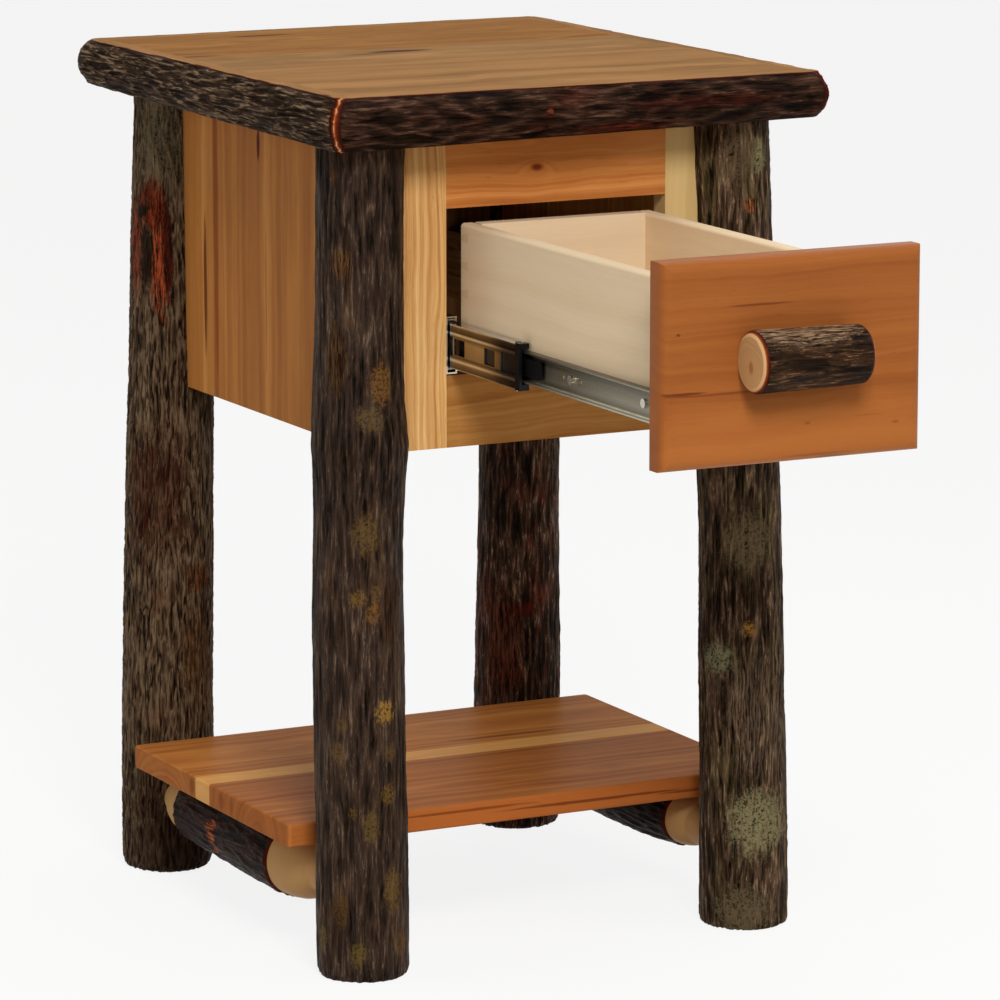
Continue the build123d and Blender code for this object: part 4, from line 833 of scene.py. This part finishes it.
# painted highlights on the rounded lips and painted shade in the grooves, in a faintly yellow zinc
# (the bands are height in mm and tone)
zinc_brassy = metal(
    "yellow_zinc_plated_steel_middle_member", "9A8C74", roughness=0.2, spread=0.1, scratch=0.1,
    painted_light_bands=((482, "CDCDD3"), (483.6, "EEF3FF"), (485, "413B37"), (489, "786E62"), (491, "E9EEFA"),
           (492.6, "605953"), (496, "918779"), (506, "A49988"), (510, "605748"), (512, "E9EEFA"),
           (513.4, "312C26"), (517.5, "696055"), (519.4, "EEF3FF"), (521, "C1C0BF")))
# duller and greyer, with bands of painted highlight and painted shade, and painted shade over its far end
zinc_dark = metal(
    "zinc_plated_steel_drawer_member", "8A8472", roughness=0.3, spread=0.1, scratch=0.1, painted_shade_from=-316,
    painted_light_bands=((489.3, "9A9482"), (490.6, "E0D9C4"), (492, "6E6A5A"), (497, "928C78"), (504, "7E7866"),
           (510, "5C584A"), (512.6, "AAA38E"), (513.8, "68645A")))
# mirror-bright balls, bright screw heads, black plastic that swallows light, and a dull grey cage
ball_steel = metal("polished_bearing_steel", "C8C8CA", roughness=0.12, spread=0.1, scratch=0.05)
screw_zinc = metal("zinc_plated_screws", "D0C9BC", roughness=0.24, spread=0.2, scratch=0.1)
black_plastic = moulded("black_acetal_bumper_lever_and_cage", "060607", 0.25)
cage_zinc = metal("zinc_plated_ball_cage", "A8A094", roughness=0.35, spread=0.3, scratch=0.2)
finishes = {
    "slide_outer": zinc_pale, "slide_middle": zinc_brassy, "slide_inner": zinc_dark,
    "slide_bumper": black_plastic, "release_lever": black_plastic, "outer_cage": cage_zinc,
    "inner_cage": black_plastic, "outer_balls": ball_steel, "inner_balls": ball_steel,
}
for kind, finish in finishes.items():
    for side in ("left", "right"):
        coat(nodes[kind + "_" + side], finish)
for name, node in nodes.items():
    if name.endswith("_screws"):
        coat(node, screw_zinc)


# --- studio ---------------------------------------------------------------------------------
def looked_at(tree):
    """1 for what is seen, straight or in gloss or through glass, and 0 for what only lights things."""
    path = add(tree, "LightPath").outputs
    seen = path["Is Camera Ray"]
    for kind in ("Is Glossy Ray", "Is Transmission Ray"):
        seen = add(tree, "Math", (seen, path[kind]), operation="MAXIMUM")
    return seen


def paper(name, code):
    """Matt backdrop paper: near white to the camera, in gloss and through glass, and it keeps shadows."""
    material = bpy.data.materials.new(name)
    material.use_nodes = True
    tree = material.node_tree
    tree.nodes.clear()
    grain = add(tree, "TexNoise", (add(tree, "TexCoord").outputs["Object"], 900.0))
    shade = add(tree, "MapRange", (grain, 0.0, 1.0, 0.97, 1.0))
    colour = add(tree, "Mix", (shade, "000000", code), data_type="RGBA")
    diffuse = add(tree, "BsdfDiffuse", [colour])
    glow = add(tree, "Emission", {"Strength": 1.0})
    share = add(tree, "Math", (looked_at(tree), 0.86), operation="MULTIPLY")
    add(tree, "OutputMaterial", [add(tree, "MixShader", (share, diffuse, glow))])
    return material


bpy.ops.object.select_all(action="DESELECT")
bpy.ops.mesh.primitive_plane_add(size=60.0, location=(0, 0, 0))
floor = bpy.context.object
floor.name = "studio_floor"
floor.data.materials.append(paper("matt_studio_paper", "F2F0EC"))

# the room looks white but lights the object with less, so that the softboxes shape it
world = bpy.data.worlds.new("studio")
bpy.context.scene.world = world
world.use_nodes = True
sky = world.node_tree
sky.nodes.clear()
level = add(sky, "MapRange", (looked_at(sky), 0.0, 1.0, 0.3, 1.0))
add(sky, "OutputWorld", [add(sky, "Background", ("FFFFFF", level))])


def softbox(name, place, target, side, power):
    """A soft square lamp turned to a point: sizes in metres, power in watts."""
    lamp = bpy.data.lights.new(name, "AREA")
    lamp.shape = "SQUARE"
    lamp.size = side
    lamp.energy = power
    stand = bpy.data.objects.new(name, lamp)
    stand.location = place
    stand.rotation_euler = (Vector(target) - Vector(place)).to_track_quat("-Z", "Y").to_euler()
    bpy.context.scene.collection.objects.link(stand)


softbox("key_softbox", (-0.9, -3.0, 2.6), target=(0, -0.1, 0.4), side=1.0, power=88.0)
softbox("top_softbox", (0.3, 0.2, 3.0), target=(0, 0, 0.5), side=2.2, power=26.0)
softbox("left_fill", (-3.0, 0.3, 1.3), target=(0, 0, 0.4), side=1.4, power=10.0)
softbox("right_fill", (2.6, -1.8, 1.4), target=(0, 0, 0.4), side=1.4, power=9.0)

# --- camera ---------------------------------------------------------------------------------
AZIMUTH, ELEVATION = math.radians(-27.01), math.radians(10.764)
AIM_ASIDE, AIM_UP = 0.04641, 0.33567    # what it is turned to, in metres from the middle of the floor
DISTANCE = 4.549                        # from there, in metres
SENSOR = 36.0                           # width in millimetres
FOCAL = 5.4709                          # focal length in widths of the sensor
aim = Vector((AIM_ASIDE * math.cos(AZIMUTH), AIM_ASIDE * math.sin(AZIMUTH), AIM_UP))
away = Vector((math.sin(AZIMUTH) * math.cos(ELEVATION), -math.cos(AZIMUTH) * math.cos(ELEVATION),
               math.sin(ELEVATION)))
lens = bpy.data.cameras.new("camera")
lens.lens = FOCAL * SENSOR
lens.sensor_width = SENSOR
lens.clip_end = 50
camera = bpy.data.objects.new("camera", lens)
camera.location = aim + away * DISTANCE
camera.rotation_euler = away.to_track_quat("Z", "Y").to_euler()
bpy.context.scene.collection.objects.link(camera)
bpy.context.scene.camera = camera

bpy.context.scene.view_settings.view_transform = "Standard"
